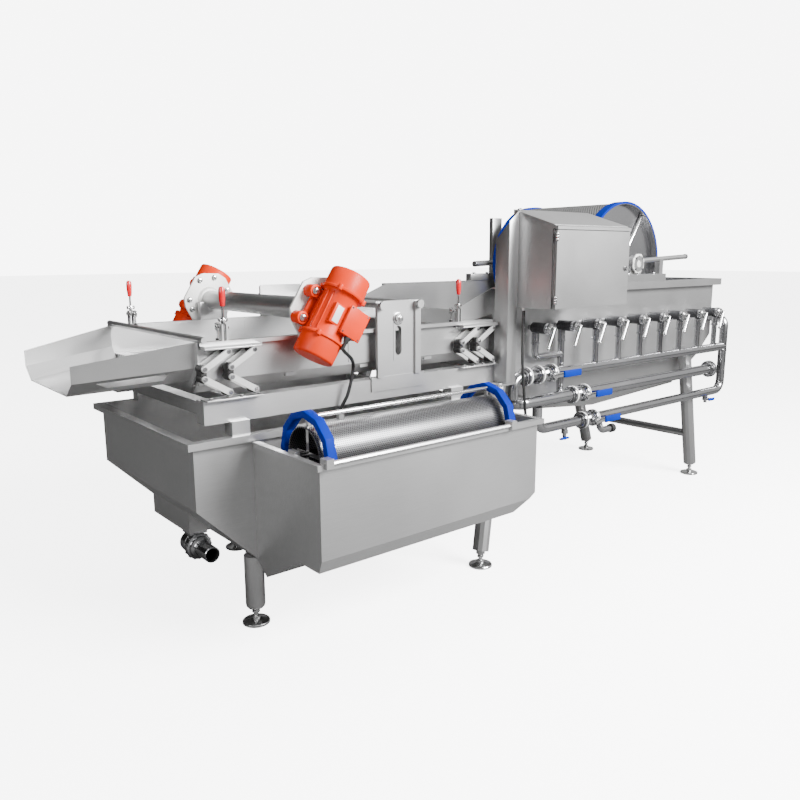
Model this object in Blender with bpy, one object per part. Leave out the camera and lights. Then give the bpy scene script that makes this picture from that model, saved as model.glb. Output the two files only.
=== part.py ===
"""Vortex vegetable washer with an immersion drum, a vibrating dewatering deck and a water return.

The machine runs along X: the outfeed chute is at the low end, the wash tank at the high end.
Y is across the machine, with the operator side at negative Y, and Z is up from the floor.
All sizes are in metres.
"""

import math

import bmesh
import bpy
from mathutils import Matrix, Vector

# General sizes
FIT_GAP = 0.0003
WELD_DISTANCE = FIT_GAP / 300
TANK_SHEET = 0.004
FRAME_SHEET = 0.004
SMALL_SIDES = 8
ROUND_SIDES = 12
LARGE_SIDES = 24

# Vibrating deck
DECK_LEFT = 0.38
DECK_LENGTH = 1.44
DECK_HALF_WIDTH = 0.425
DECK_RISE = 0.205
DECK_WALL_HEIGHT = 0.135
DECK_UNDER_FOLD = 0.045
DECK_FLANGE = 0.03
DECK_LIP = 0.014
CROSS_MEMBER_COUNT = 5
CROSS_MEMBER_WIDTH = 0.04
CROSS_MEMBER_HEIGHT = 0.03
CROSS_MEMBER_RISE = 0.01
DECK_END_WALL = 0.085
FRONT_BAR_RADIUS = 0.012

# Screen panel in the deck
SCREEN_THICKNESS = 0.008
SCREEN_EDGE = 0.05
SCREEN_ROWS = 9
SCREEN_BAYS = 4
SCREEN_BAR_SHARE = 0.35

# Outfeed chute
CHUTE_FRONT_HALF_WIDTH = 0.29
CHUTE_FRONT_FLOOR_HALF = 0.225
CHUTE_TOP_DROP = 0.065
CHUTE_FLOOR_DROP = 0.174
CHUTE_FRONT_FOLD = 0.05
CHUTE_BACK_DROP = 0.14
CHUTE_BACK_FOLD = 0.05
CHUTE_COLLAR = 0.02
CHUTE_SHEET = 0.003

# Fixed frame under the deck
RAIL_RISE = 0.135
RAIL_HEIGHT = 0.085
RAIL_WIDTH = 0.0597
RAIL_TAIL = 0.16
FRAME_BAR = 0.05
FRAME_BAR_SETBACK = 0.03
FRAME_BAR_SPACING = 0.13

# Rubber spring mounts between rail and deck
MOUNT_WIDTH = 0.218
MOUNT_DEPTH = 0.06
MOUNT_INSET = 0.002
MOUNT_PLATE = 0.006
MOUNT_ARM = 0.012
MOUNT_ARM_HEIGHT = 0.024
MOUNT_PIN_RADIUS = 0.015
MOUNT_REACH = 0.095
MOUNT_MIDDLE_SPACING = 0.036
BRACKET_PLATE = 0.007
BRACKET_DEPTH = 0.05

# Toggle clamps on the deck edge
CLAMP_PIVOT_RISE = 0.045
CLAMP_PLATE = 0.006
CLAMP_LEVER_THICKNESS = 0.01
CLAMP_GRIP_LENGTH = 0.066
CLAMP_GRIP_RADIUS = 0.013
CLAMP_HANDLE_LENGTH = 0.142
CLAMP_ARM_LENGTH = 0.055
CLAMP_LEFT_INSET = 0.098
CLAMP_RIGHT_INSET = 0.208

# Motor beam and vibrating motors
BEAM_RADIUS = 0.0425
BEAM_RISE = 0.09
BEAM_SHARE = 0.333
END_PLATE_WIDTH = 0.224
END_PLATE_HEIGHT = 0.256
END_PLATE_THICKNESS = 0.012
MOTOR_TILT = math.radians(32)
MOTOR_LENGTH = 0.345
MOTOR_RADIUS = 0.07
MOTOR_CAP_RADIUS = 0.079
MOTOR_CAP_LENGTH = 0.078
MOTOR_STANDOFF = 0.086
MOTOR_SINK = 0.02

# Slotted gate over the deck
GATE_SHARE = 0.522
GATE_WIDTH = 0.23
GATE_RISE = 0.11
GATE_FAR_RISE = 0.15
GATE_BASE_OVERHANG = 0.025
GATE_ROD_RADIUS = 0.012
GATE_CAP_RADIUS = 0.018

# Collector tank under the deck
COLLECTOR_OVERHANG = 0.048
COLLECTOR_SETBACK = 0.18
COLLECTOR_RIM = 0.77
COLLECTOR_RIM_OUT = 0.03
COLLECTOR_RIM_LIP = 0.025
COLLECTOR_FLOOR = 0.28
COLLECTOR_SLOPE_TOP = 0.515
SUMP_LENGTH = 0.17
SUMP_NEAR = -0.06
SUMP_FAR = 0.31

# Drain valve under the sump
DRAIN_DROP = 0.065
DRAIN_BODY_RADIUS = 0.045
DRAIN_RING_RADIUS = 0.055
DRAIN_SPOUT_RADIUS = 0.033
DRAIN_SPOUT_LENGTH = 0.1

# Filter tank beside the collector
FILTER_LEFT_INSET = 0.231
FILTER_RIGHT_INSET = 0.015
FILTER_DEPTH = 0.437
FILTER_DROP = 0.026
FILTER_NEAR_FLOOR = 0.363
FILTER_BACK_FLOOR = 0.23
FILTER_RIM_OUT = 0.02

# Rotary filter drum
FILTER_DRUM_RADIUS = 0.098
FILTER_HOOP_RADIUS = 0.154
FILTER_HOOP_DEPTH = 0.036
FILTER_HOOP_WIDTH = 0.036
FILTER_HOOP_SIDES = 12
FILTER_DRUM_DROP = 0.012
FILTER_DRUM_SHARE = 0.606
FILTER_DRUM_LEFT_GAP = 0.05
FILTER_DRUM_RIGHT_GAP = 0.106
FILTER_SHAFT_RADIUS = 0.012
FILTER_BEARING = 0.018
FILTER_BAR_RADIUS = 0.009

# Wash tank
TANK_DISTANCE = 0.05
TANK_LENGTH = 2.015
TANK_SIDE_INSET = 0.025
TANK_RIM_RISE = 0.14
TANK_RIM_OUT = 0.035
TANK_RIM_LIP = 0.04
TANK_WALL_HEIGHT = 0.466
TANK_FLOOR_INSET = 0.06
TANK_FLOOR_DROP = 0.214
TANK_FLOOR_SLOPE = 0.042
TANK_CHAMFER_RISE = 0.116
TANK_CHAMFER_LENGTH = 0.335
SPOUT_LENGTH = 0.24
SPOUT_LIP_DROP = 0.025
SPOUT_SILL_RISE = 0.02

# Column and electrical cabinet
COLUMN_GAP = 0.002
COLUMN_WIDTH = 0.06
COLUMN_DEPTH = 0.083
COLUMN_RISE = 0.345
COLUMN_SLANT = 0.125
CABINET_WIDTH = 0.535
CABINET_DEPTH = 0.233
CABINET_DROP = 0.085
CABINET_FRONT_HEIGHT = 0.363
CABINET_BACK_HEIGHT = 0.435
DOOR_THICKNESS = 0.016
DOOR_HEIGHT = 0.339

# Immersion drum
DRUM_SHARE = 0.556
DRUM_RISE = 0.1
DRUM_RADIUS = 0.33
DRUM_HOOP_RADIUS = 0.338
DRUM_HOOP_WIDTH = 0.05
DRUM_END_CLEARANCE = 0.055
DRUM_SHELL = 0.004
DRUM_DISC_INSET = 0.035
DRUM_SHAFT_RADIUS = 0.02
BRACKET_BEAM_LENGTH = 0.38
BRACKET_BEAM_HEIGHT = 0.04
LEVER_BAR_LENGTH = 0.53
LEVER_BAR_RADIUS = 0.014

# Water jets and pipework
PIPE_STANDOFF = 0.105
PIPE_RADIUS = 0.025
MAIN_PIPE_RADIUS = 0.03
RISER_RADIUS = 0.013
UNION_RADIUS = 0.045
UNION_WIDTH = 0.022
MANIFOLD_DROP = 0.22
MIDDLE_DROP = 0.13
LOWER_DROP = 0.145
BEND_RADIUS = 0.06
JET_COUNT = 9
JET_LINKED = 2
JET_FIRST_INSET = 0.266
JET_LAST_INSET = 0.1466
JET_DROP = 0.2
JET_BARREL_RADIUS = 0.032
JET_BARREL_LENGTH = 0.13
JET_RING_RADIUS = 0.028
JET_RING_WIDTH = 0.02
JET_STEM = 0.03
JET_LEVER_DROP = 0.1
JET_LEVER_SHIFT = 0.06
JET_LEVER_RADIUS = 0.0065
VALVE_LEVER_LENGTH = 0.19
VALVE_STEM = 0.075

# Legs and feet
LEG_RADIUS = 0.038
LEG_BOTTOM = 0.075
LEG_PLUG = 0.014
FOOT_RADIUS = 0.0535
FOOT_HEIGHT = 0.014
SPINDLE_RADIUS = 0.009
LEFT_LEG_SETBACK = 0.244
LEFT_LEG_INSET = 0.055
REAR_LEG_SETBACK = 0.548
REAR_LEG_INSET = 0.12
MIDDLE_LEG_SETBACK = 0.008
MIDDLE_LEG_SPREAD = 0.182
END_LEG_SETBACK = 0.147
END_LEG_SPREAD = 0.007
END_LEG_LEAN = 0.215
BRACE_HEIGHT = 0.28
BRACE_RADIUS = 0.025

# Cables
CABLE_RADIUS = 0.007

# Values that follow from the sizes above
DECK_RIGHT = DECK_LEFT + DECK_LENGTH
RAIL_TOP = COLLECTOR_RIM + RAIL_RISE
DECK_TOP = RAIL_TOP + DECK_RISE
CHUTE_FRONT_TOP = DECK_TOP - CHUTE_TOP_DROP
CHUTE_FRONT_FLOOR = DECK_TOP - CHUTE_FLOOR_DROP
DECK_FOLD = DECK_TOP - DECK_WALL_HEIGHT
DECK_UNDERSIDE = DECK_FOLD - DECK_UNDER_FOLD
DECK_EDGE = DECK_HALF_WIDTH + DECK_FLANGE
SCREEN_SEAT = DECK_FOLD + CROSS_MEMBER_RISE
RAIL_BOTTOM = RAIL_TOP - RAIL_HEIGHT
TANK_HALF_WIDTH = DECK_HALF_WIDTH - TANK_SIDE_INSET
RAIL_INNER = TANK_HALF_WIDTH + FIT_GAP
RAIL_OUTER = RAIL_INNER + RAIL_WIDTH
RAIL_RIGHT = DECK_RIGHT + RAIL_TAIL
MOUNT_TOP = DECK_TOP - DECK_LIP - BRACKET_PLATE + FRAME_SHEET / 2
DECK_FACE = DECK_HALF_WIDTH + FRAME_SHEET
MOUNT_BACK = DECK_FACE + FIT_GAP * 10
BEAM_X = DECK_LEFT + DECK_LENGTH * BEAM_SHARE
BEAM_Z = DECK_TOP + BEAM_RISE
PLATE_INNER = DECK_EDGE + FIT_GAP * 2
PLATE_OUTER = PLATE_INNER + END_PLATE_THICKNESS
MOTOR_Y = PLATE_OUTER + FIT_GAP + MOTOR_STANDOFF
GATE_LEFT = DECK_LEFT + DECK_LENGTH * GATE_SHARE
GATE_RIGHT = GATE_LEFT + GATE_WIDTH
GATE_TOP = DECK_TOP + GATE_RISE
GATE_FAR_TOP = DECK_TOP + GATE_FAR_RISE
TANK_LEFT = DECK_RIGHT + TANK_DISTANCE
TANK_RIGHT = TANK_LEFT + TANK_LENGTH
TANK_RIM = DECK_TOP + TANK_RIM_RISE
TANK_FOLD = TANK_RIM - TANK_WALL_HEIGHT
TANK_FLOOR_HALF_WIDTH = TANK_HALF_WIDTH - TANK_FLOOR_INSET
TANK_FLOOR_LOW = TANK_FOLD - TANK_FLOOR_DROP
TANK_FLOOR_HIGH = TANK_FLOOR_LOW + TANK_FLOOR_SLOPE
TANK_CHAMFER_TOP = TANK_FOLD + TANK_CHAMFER_RISE
SPOUT_LIP = DECK_TOP - SPOUT_LIP_DROP
SPOUT_SILL = DECK_TOP + SPOUT_SILL_RISE
COLUMN_TOP = TANK_RIM + COLUMN_RISE
COLUMN_NEAR_TOP = COLUMN_TOP - COLUMN_SLANT
CABINET_BOTTOM = TANK_RIM - CABINET_DROP
COLLECTOR_LEFT = DECK_LEFT - COLLECTOR_OVERHANG
COLLECTOR_RIGHT = DECK_RIGHT - COLLECTOR_SETBACK
COLLECTOR_HALF_WIDTH = RAIL_OUTER
FILTER_LEFT = COLLECTOR_LEFT + FILTER_LEFT_INSET
FILTER_RIGHT = COLLECTOR_RIGHT - FILTER_RIGHT_INSET
FILTER_TOP = COLLECTOR_RIM - FILTER_DROP
COLUMN_LEFT = DECK_RIGHT + COLUMN_GAP
COLUMN_RIGHT = COLUMN_LEFT + COLUMN_WIDTH
COLUMN_BACK = RAIL_OUTER + FIT_GAP
COLUMN_NEAR = COLUMN_BACK + COLUMN_DEPTH
CABINET_LEFT = COLUMN_RIGHT + FIT_GAP
CABINET_RIGHT = CABINET_LEFT + CABINET_WIDTH
CABINET_BACK = COLUMN_NEAR - COLUMN_DEPTH * 0.4
CABINET_FRONT = CABINET_BACK + CABINET_DEPTH
FILTER_BACK = COLLECTOR_HALF_WIDTH + FIT_GAP
FILTER_NEAR = FILTER_BACK + FILTER_DEPTH
FILTER_AXIS_Y = -(FILTER_BACK + FILTER_DEPTH * FILTER_DRUM_SHARE)
FILTER_AXIS_Z = FILTER_TOP - FILTER_DRUM_DROP
FILTER_HOOP_INNER = FILTER_HOOP_RADIUS - FILTER_HOOP_DEPTH
DRUM_X = TANK_LEFT + (TANK_RIGHT - TANK_LEFT) * DRUM_SHARE
DRUM_Z = TANK_RIM + DRUM_RISE
DRUM_HALF_LENGTH = TANK_HALF_WIDTH - DRUM_END_CLEARANCE
JET_Z = TANK_RIM - JET_DROP
MANIFOLD_Z = JET_Z - MANIFOLD_DROP
MIDDLE_Z = MANIFOLD_Z - MIDDLE_DROP
LOWER_Z = MIDDLE_Z - LOWER_DROP
JET_FIRST_X = TANK_LEFT + JET_FIRST_INSET
JET_PITCH = (TANK_LENGTH - JET_FIRST_INSET - JET_LAST_INSET) / (JET_COUNT - 1)
PIPE_Y = -(TANK_HALF_WIDTH + PIPE_STANDOFF)
MANIFOLD_RIGHT = TANK_RIGHT - PIPE_RADIUS
JET_END = TANK_HALF_WIDTH + FIT_GAP + JET_BARREL_LENGTH
LEVER_Y = PIPE_Y - VALVE_STEM
SUMP_LEFT = COLLECTOR_LEFT + (COLLECTOR_SLOPE_TOP - COLLECTOR_FLOOR) * 0.6
SUMP_FLOOR = COLLECTOR_FLOOR + TANK_SHEET
DRAIN_X = SUMP_LEFT + SUMP_LENGTH * 0.25
DRAIN_Y = SUMP_NEAR + DRAIN_BODY_RADIUS
DRAIN_Z = SUMP_FLOOR - DRAIN_DROP
LEFT_LEG_X = COLLECTOR_LEFT + LEFT_LEG_SETBACK
LEFT_LEG_Y = -(COLLECTOR_HALF_WIDTH - LEFT_LEG_INSET)
REAR_LEG_X = COLLECTOR_LEFT + REAR_LEG_SETBACK
REAR_LEG_Y = COLLECTOR_HALF_WIDTH - REAR_LEG_INSET
MIDDLE_LEG_FOOT_X = COLLECTOR_RIGHT - MIDDLE_LEG_SETBACK
MIDDLE_LEG_FOOT_Y = TANK_HALF_WIDTH + MIDDLE_LEG_SPREAD
END_LEG_FOOT_X = TANK_RIGHT - END_LEG_SETBACK
END_LEG_FOOT_Y = TANK_HALF_WIDTH + END_LEG_SPREAD


# Building blocks
def clear_scene():
    """Remove every object that the file opened with."""
    for item in list(bpy.data.objects):
        bpy.data.objects.remove(item, do_unlink=True)


def solid(bm, name="piece"):
    """Turn a bmesh into an object with its faces pointing out."""
    bmesh.ops.recalc_face_normals(bm, faces=bm.faces)
    mesh = bpy.data.meshes.new(name)
    bm.to_mesh(mesh)
    bm.free()
    item = bpy.data.objects.new(name, mesh)
    bpy.context.scene.collection.objects.link(item)
    return item


def block(low, high):
    """A box between two corners."""
    bm = bmesh.new()
    size = [high[i] - low[i] for i in range(3)]
    middle = [(high[i] + low[i]) / 2 for i in range(3)]
    place = Matrix.Translation(middle) @ Matrix.Diagonal((*size, 1))
    bmesh.ops.create_cube(bm, size=1, matrix=place)
    return solid(bm)


def rod(start, end, radius, sides=SMALL_SIDES, end_radius=None):
    """A round bar between two points, or a cone where the end radius differs."""
    start = Vector(start)
    end = Vector(end)
    along = end - start
    turn = along.to_track_quat("Z", "Y").to_matrix().to_4x4()
    place = Matrix.Translation((start + end) / 2) @ turn
    last = radius if end_radius is None else end_radius
    bm = bmesh.new()
    bmesh.ops.create_cone(
        bm, cap_ends=True, segments=sides, radius1=radius, radius2=last,
        depth=along.length, matrix=place,
    )
    return solid(bm)


def outline_point(axis, first, second, along):
    """Place a flat outline's point: the outline's two values and the value along the axis."""
    if axis == "x":
        return (along, first, second)
    if axis == "y":
        return (first, along, second)
    return (first, second, along)


def prism(outline, axis, low, high):
    """Extrude a flat outline from low to high along an axis."""
    bm = bmesh.new()
    corners = [bm.verts.new(outline_point(axis, a, b, low)) for a, b in outline]
    face = bm.faces.new(corners)
    grown = bmesh.ops.extrude_face_region(bm, geom=[face])
    moved = [v for v in grown["geom"] if isinstance(v, bmesh.types.BMVert)]
    bmesh.ops.translate(bm, vec=outline_point(axis, 0, 0, high - low), verts=moved)
    return solid(bm)


def loft(first, second):
    """A solid between two outlines with equal numbers of points."""
    bm = bmesh.new()
    near = [bm.verts.new(p) for p in first]
    far = [bm.verts.new(p) for p in second]
    bm.faces.new(near)
    bm.faces.new(far[::-1])
    count = len(near)
    for i in range(count):
        j = (i + 1) % count
        bm.faces.new((near[i], near[j], far[j], far[i]))
    return solid(bm)


def turned(profile, start, direction, sides=ROUND_SIDES, ring=False):
    """Spin a profile of (radius, distance) pairs round an axis through start."""
    bm = bmesh.new()
    verts = [bm.verts.new((radius, 0, height)) for radius, height in profile]
    edges = [bm.edges.new(pair) for pair in zip(verts, verts[1:])]
    if ring:
        edges.append(bm.edges.new((verts[-1], verts[0])))
    bmesh.ops.spin(
        bm, geom=verts + edges, axis=(0, 0, 1), cent=(0, 0, 0), steps=sides,
        angle=math.tau, use_merge=True,
    )
    bmesh.ops.remove_doubles(bm, verts=bm.verts, dist=WELD_DISTANCE)
    turn = Vector(direction).to_track_quat("Z", "Y").to_matrix().to_4x4()
    bmesh.ops.transform(bm, matrix=Matrix.Translation(start) @ turn, verts=bm.verts)
    return solid(bm)


def bend_points(corners, radius, steps=5):
    """Replace each inner corner of a run by an arc."""
    points = [Vector(corners[0])]
    for before, here, after in zip(corners, corners[1:], corners[2:]):
        here = Vector(here)
        back = (Vector(before) - here).normalized()
        ahead = (Vector(after) - here).normalized()
        half = back.angle(ahead) / 2
        setback = radius / math.tan(half)
        centre = here + (back + ahead).normalized() * radius / math.sin(half)
        start = here + back * setback - centre
        end = here + ahead * setback - centre
        sweep = start.angle(end)
        for k in range(steps + 1):
            share = k / steps
            mixed = start * math.sin((1 - share) * sweep) + end * math.sin(share * sweep)
            points.append(centre + mixed / math.sin(sweep))
    points.append(Vector(corners[-1]))
    return points


def curve_object(points, radius, resolution, name="run"):
    """A bevelled poly curve with filled caps through the points."""
    data = bpy.data.curves.new(name, "CURVE")
    data.dimensions = "3D"
    data.bevel_depth = radius
    data.bevel_resolution = resolution
    data.use_fill_caps = True
    spline = data.splines.new("POLY")
    spline.points.add(len(points) - 1)
    for slot, point in zip(spline.points, points):
        slot.co = (*point, 1)
    item = bpy.data.objects.new(name, data)
    bpy.context.scene.collection.objects.link(item)
    return item


def baked(item):
    """Replace an object by its evaluated mesh."""
    bpy.context.view_layer.update()
    graph = bpy.context.evaluated_depsgraph_get()
    mesh = bpy.data.meshes.new_from_object(item.evaluated_get(graph))
    result = bpy.data.objects.new(item.name, mesh)
    bpy.context.scene.collection.objects.link(result)
    bpy.data.objects.remove(item, do_unlink=True)
    return result


def welded(item):
    """Close the seams of a baked curve."""
    bm = bmesh.new()
    bm.from_mesh(item.data)
    bmesh.ops.remove_doubles(bm, verts=bm.verts, dist=WELD_DISTANCE)
    bmesh.ops.recalc_face_normals(bm, faces=bm.faces)
    bm.to_mesh(item.data)
    bm.free()
    return item


def pipe(corners, radius, bend=None, resolution=2):
    """A pipe along a run of corners with bent elbows."""
    points = bend_points(corners, bend, 3) if bend else [Vector(p) for p in corners]
    return welded(baked(curve_object(points, radius, resolution)))


def combine(body, tool, operation):
    """Apply one exact Boolean and remove the tool."""
    step = body.modifiers.new(operation.lower(), "BOOLEAN")
    step.operation = operation
    step.solver = "EXACT"
    step.object = tool
    bpy.context.view_layer.update()
    graph = bpy.context.evaluated_depsgraph_get()
    mesh = bpy.data.meshes.new_from_object(body.evaluated_get(graph))
    body.modifiers.clear()
    body.data = mesh
    bpy.data.objects.remove(tool, do_unlink=True)
    return body


def fused(pieces, cuts=()):
    """One body from several pieces, with the cuts taken out."""
    body = pieces[0]
    for piece in pieces[1:]:
        combine(body, piece, "UNION")
    for cut in cuts:
        combine(body, cut, "DIFFERENCE")
    return body


def overlap(first, second):
    """The space that two solids share."""
    return combine(first, second, "INTERSECT")


def mirrored(pieces):
    """Copies of pieces on the other side of the machine's middle plane."""
    result = []
    for piece in pieces:
        bm = bmesh.new()
        bm.from_mesh(piece.data)
        bmesh.ops.transform(bm, matrix=Matrix.Diagonal((1, -1, 1, 1)), verts=bm.verts)
        bmesh.ops.reverse_faces(bm, faces=bm.faces)
        result.append(solid(bm))
    return result


def moved(piece, matrix):
    """Move a piece's mesh."""
    piece.data.transform(matrix)
    return piece


def inset(outline, distance):
    """Offset a closed outline inward; its points run anticlockwise."""
    result = []
    count = len(outline)
    for i in range(count):
        before = Vector(outline[i - 1])
        here = Vector(outline[i])
        after = Vector(outline[(i + 1) % count])
        first = (here - before).normalized()
        second = (after - here).normalized()
        normal = Vector((-first.y, first.x)) + Vector((-second.y, second.x))
        normal.normalize()
        reach = distance / normal.dot(Vector((-first.y, first.x)))
        result.append(tuple(here + normal * reach))
    return result


def opened(outline, distance, top):
    """Inset an outline and lift its top edge clear of the rim."""
    inner = inset(outline, distance)
    lifted = []
    for (a, b), (_, height) in zip(inner, outline):
        lifted.append((a, b + distance * 3) if height > top - WELD_DISTANCE else (a, b))
    return lifted


def strip(path, thickness):
    """The outline of a folded sheet that follows an open path."""
    back = []
    count = len(path)
    for i in range(count):
        here = Vector(path[i])
        first = (here - Vector(path[max(i - 1, 0)])).normalized()
        second = (Vector(path[min(i + 1, count - 1)]) - here).normalized()
        first = second if i == 0 else first
        second = first if i == count - 1 else second
        normal = Vector((-first.y, first.x)) + Vector((-second.y, second.x))
        normal.normalize()
        reach = thickness / normal.dot(Vector((-first.y, first.x)))
        back.append(tuple(here + normal * reach))
    return list(path) + back[::-1]


def rim_ring(low, high, top, out, lip, sheet):
    """A folded rim round a rectangular tank mouth given by its walls' outer faces."""
    ring = block(
        (low[0] - out, low[1] - out, top - lip),
        (high[0] + out, high[1] + out, top),
    )
    under = block(
        (low[0] - out + sheet, low[1] - out + sheet, top - lip - sheet),
        (high[0] + out - sheet, high[1] + out - sheet, top - sheet),
    )
    mouth_edge = sheet * 1.25
    mouth = block(
        (low[0] + mouth_edge, low[1] + mouth_edge, top - lip),
        (high[0] - mouth_edge, high[1] - mouth_edge, top + lip),
    )
    return fused([ring], [under, mouth])


MATERIAL_LOOKS = {
    "steel": ((0.62, 0.63, 0.64), 1.0, 0.32),
    "polished": ((0.75, 0.76, 0.77), 1.0, 0.15),
    "orange": ((0.9, 0.22, 0.04), 0.0, 0.4),
    "blue": ((0.0, 0.1, 0.6), 0.0, 0.35),
    "red": ((0.75, 0.02, 0.04), 0.0, 0.35),
    "rubber": ((0.03, 0.03, 0.03), 0.0, 0.7),
    "grey": ((0.18, 0.18, 0.19), 0.0, 0.5),
}


def paint(item, look):
    """Give an object its own material."""
    colour, metallic, roughness = MATERIAL_LOOKS[look]
    material = bpy.data.materials.new(item.name + "_" + look)
    material.use_nodes = True
    shader = material.node_tree.nodes["Principled BSDF"]
    shader.inputs["Base Color"].default_value = (*colour, 1)
    shader.inputs["Metallic"].default_value = metallic
    shader.inputs["Roughness"].default_value = roughness
    item.data.materials.clear()
    item.data.materials.append(material)


def finish(item, name, look, origin=None):
    """Name a finished piece, put its origin on its axis and shade it."""
    item.name = name
    item.data.name = name
    if origin is not None:
        item.data.transform(Matrix.Translation(-Vector(origin)))
        item.location = origin
    paint(item, look)
    item.data.shade_smooth()
    item.data.set_sharp_from_angle(angle=math.radians(35))
    return item


# Wash tank
def tank_side_outline():
    """Side view of the wash tank with its outlet spout, anticlockwise."""
    spout_x = TANK_LEFT - SPOUT_LENGTH
    slope_x = TANK_LEFT + (TANK_RIGHT - TANK_LEFT) * 0.05
    toe_x = TANK_LEFT + (TANK_RIGHT - TANK_LEFT) * 0.21
    low_x = TANK_LEFT + (TANK_RIGHT - TANK_LEFT) * 0.44
    return [
        (spout_x, SPOUT_LIP),
        (TANK_LEFT, SPOUT_SILL),
        (slope_x, TANK_FOLD),
        (toe_x, TANK_FLOOR_HIGH),
        (low_x, TANK_FLOOR_LOW),
        (TANK_RIGHT - TANK_CHAMFER_LENGTH, TANK_FLOOR_HIGH),
        (TANK_RIGHT, TANK_CHAMFER_TOP),
        (TANK_RIGHT, TANK_RIM - TANK_SHEET / 2),
        (TANK_LEFT - TANK_SHEET, TANK_RIM - TANK_SHEET / 2),
        (spout_x, SPOUT_LIP + (TANK_RIM - SPOUT_LIP) * 0.45),
    ]


def tank_cross_outline():
    """Cross-section of the wash tank, anticlockwise."""
    top = TANK_RIM - TANK_SHEET / 2
    return [
        (-TANK_HALF_WIDTH, top),
        (-TANK_HALF_WIDTH, TANK_FOLD),
        (-TANK_FLOOR_HALF_WIDTH, TANK_FLOOR_LOW),
        (TANK_FLOOR_HALF_WIDTH, TANK_FLOOR_LOW),
        (TANK_HALF_WIDTH, TANK_FOLD),
        (TANK_HALF_WIDTH, top),
    ]


def build_wash_tank():
    """Folded tank with sloped lower panels, a rim and the spout over the deck."""
    reach = SPOUT_LENGTH * 2
    top = TANK_RIM - TANK_SHEET / 2
    side = tank_side_outline()
    cross = tank_cross_outline()
    outer = overlap(
        prism(side, "y", -TANK_HALF_WIDTH * 1.2, TANK_HALF_WIDTH * 1.2),
        prism(cross, "x", TANK_LEFT - reach, TANK_RIGHT + reach),
    )
    inner_side = inset(side, TANK_SHEET)
    lift = TANK_SHEET * 3
    inner_side[0] = (inner_side[0][0] - lift, inner_side[0][1])
    inner_side[-1] = (inner_side[-1][0] - lift, inner_side[-1][1] + lift)
    inner_side[-2] = (inner_side[-2][0], inner_side[-2][1] + lift)
    inner_side[-3] = (inner_side[-3][0], inner_side[-3][1] + lift)
    inner = overlap(
        prism(inner_side, "y", -TANK_HALF_WIDTH * 1.2, TANK_HALF_WIDTH * 1.2),
        prism(opened(cross, TANK_SHEET, top), "x", TANK_LEFT - reach, TANK_RIGHT + reach),
    )
    rim = rim_ring(
        (TANK_LEFT - reach, -TANK_HALF_WIDTH), (TANK_RIGHT, TANK_HALF_WIDTH),
        TANK_RIM, TANK_RIM_OUT, TANK_RIM_LIP, TANK_SHEET,
    )
    rim_cut = block(
        (TANK_LEFT - reach * 2, -TANK_HALF_WIDTH * 2, TANK_RIM - TANK_RIM_LIP * 2),
        (TANK_LEFT, TANK_HALF_WIDTH * 2, TANK_RIM + TANK_RIM_LIP),
    )
    rim = fused([rim], [rim_cut])
    shell = fused([outer], [inner])
    return finish(fused([shell, rim]), "wash_tank", "steel")


# Collector tank
def collector_side_outline():
    """Side view of the collector tank, anticlockwise."""
    slope = COLLECTOR_SLOPE_TOP - COLLECTOR_FLOOR
    top = COLLECTOR_RIM - TANK_SHEET / 2
    return [
        (COLLECTOR_LEFT, COLLECTOR_SLOPE_TOP),
        (COLLECTOR_LEFT + slope, COLLECTOR_FLOOR),
        (COLLECTOR_RIGHT, COLLECTOR_FLOOR),
        (COLLECTOR_RIGHT, top),
        (COLLECTOR_LEFT, top),
    ]


def build_collector_tank():
    """Open tank that catches the water under the deck, with a sump for the drain."""
    top = COLLECTOR_RIM - TANK_SHEET / 2
    half = COLLECTOR_HALF_WIDTH
    side = collector_side_outline()
    outer = prism(side, "y", -half, half)
    sump = block(
        (SUMP_LEFT, SUMP_NEAR, SUMP_FLOOR),
        (SUMP_LEFT + SUMP_LENGTH, SUMP_FAR, COLLECTOR_SLOPE_TOP - TANK_SHEET * 3),
    )
    sump_trim = block(
        (SUMP_LEFT - SUMP_LENGTH, SUMP_NEAR * 3, COLLECTOR_FLOOR + SUMP_LENGTH * 0.7),
        (SUMP_LEFT + SUMP_LENGTH * 2, SUMP_FAR * 2, COLLECTOR_RIM),
    )
    inner = prism(opened(side, TANK_SHEET, top), "y", -half + TANK_SHEET, half - TANK_SHEET)
    sump_inner = block(
        (SUMP_LEFT + TANK_SHEET, SUMP_NEAR + TANK_SHEET, SUMP_FLOOR + TANK_SHEET),
        (SUMP_LEFT + SUMP_LENGTH, SUMP_FAR - TANK_SHEET, COLLECTOR_FLOOR + SUMP_LENGTH * 0.6),
    )
    rim = rim_ring(
        (COLLECTOR_LEFT, -half), (COLLECTOR_RIGHT, half),
        COLLECTOR_RIM, COLLECTOR_RIM_OUT, COLLECTOR_RIM_LIP, TANK_SHEET,
    )
    sump = fused([sump], [sump_trim])
    shell = fused([outer, sump], [inner, sump_inner])
    clip = cable_clip()
    return finish(fused([shell, rim, clip]), "collector_tank", "steel")


def clip_place():
    """The centre of the motor cable's clip on top of the collector rim."""
    x = BEAM_X + MOTOR_CAP_RADIUS
    y = -COLLECTOR_HALF_WIDTH - COLLECTOR_RIM_OUT * 0.6
    return (x, y, COLLECTOR_RIM + CABLE_RADIUS * 3)


def cable_clip():
    """A small gland on the collector rim that takes the motor cable's lower end."""
    x, y, z = clip_place()
    half = CABLE_RADIUS * 1.6
    return block((x - half, y - half, COLLECTOR_RIM - TANK_SHEET / 2), (x + half, y + half, z))


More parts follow.
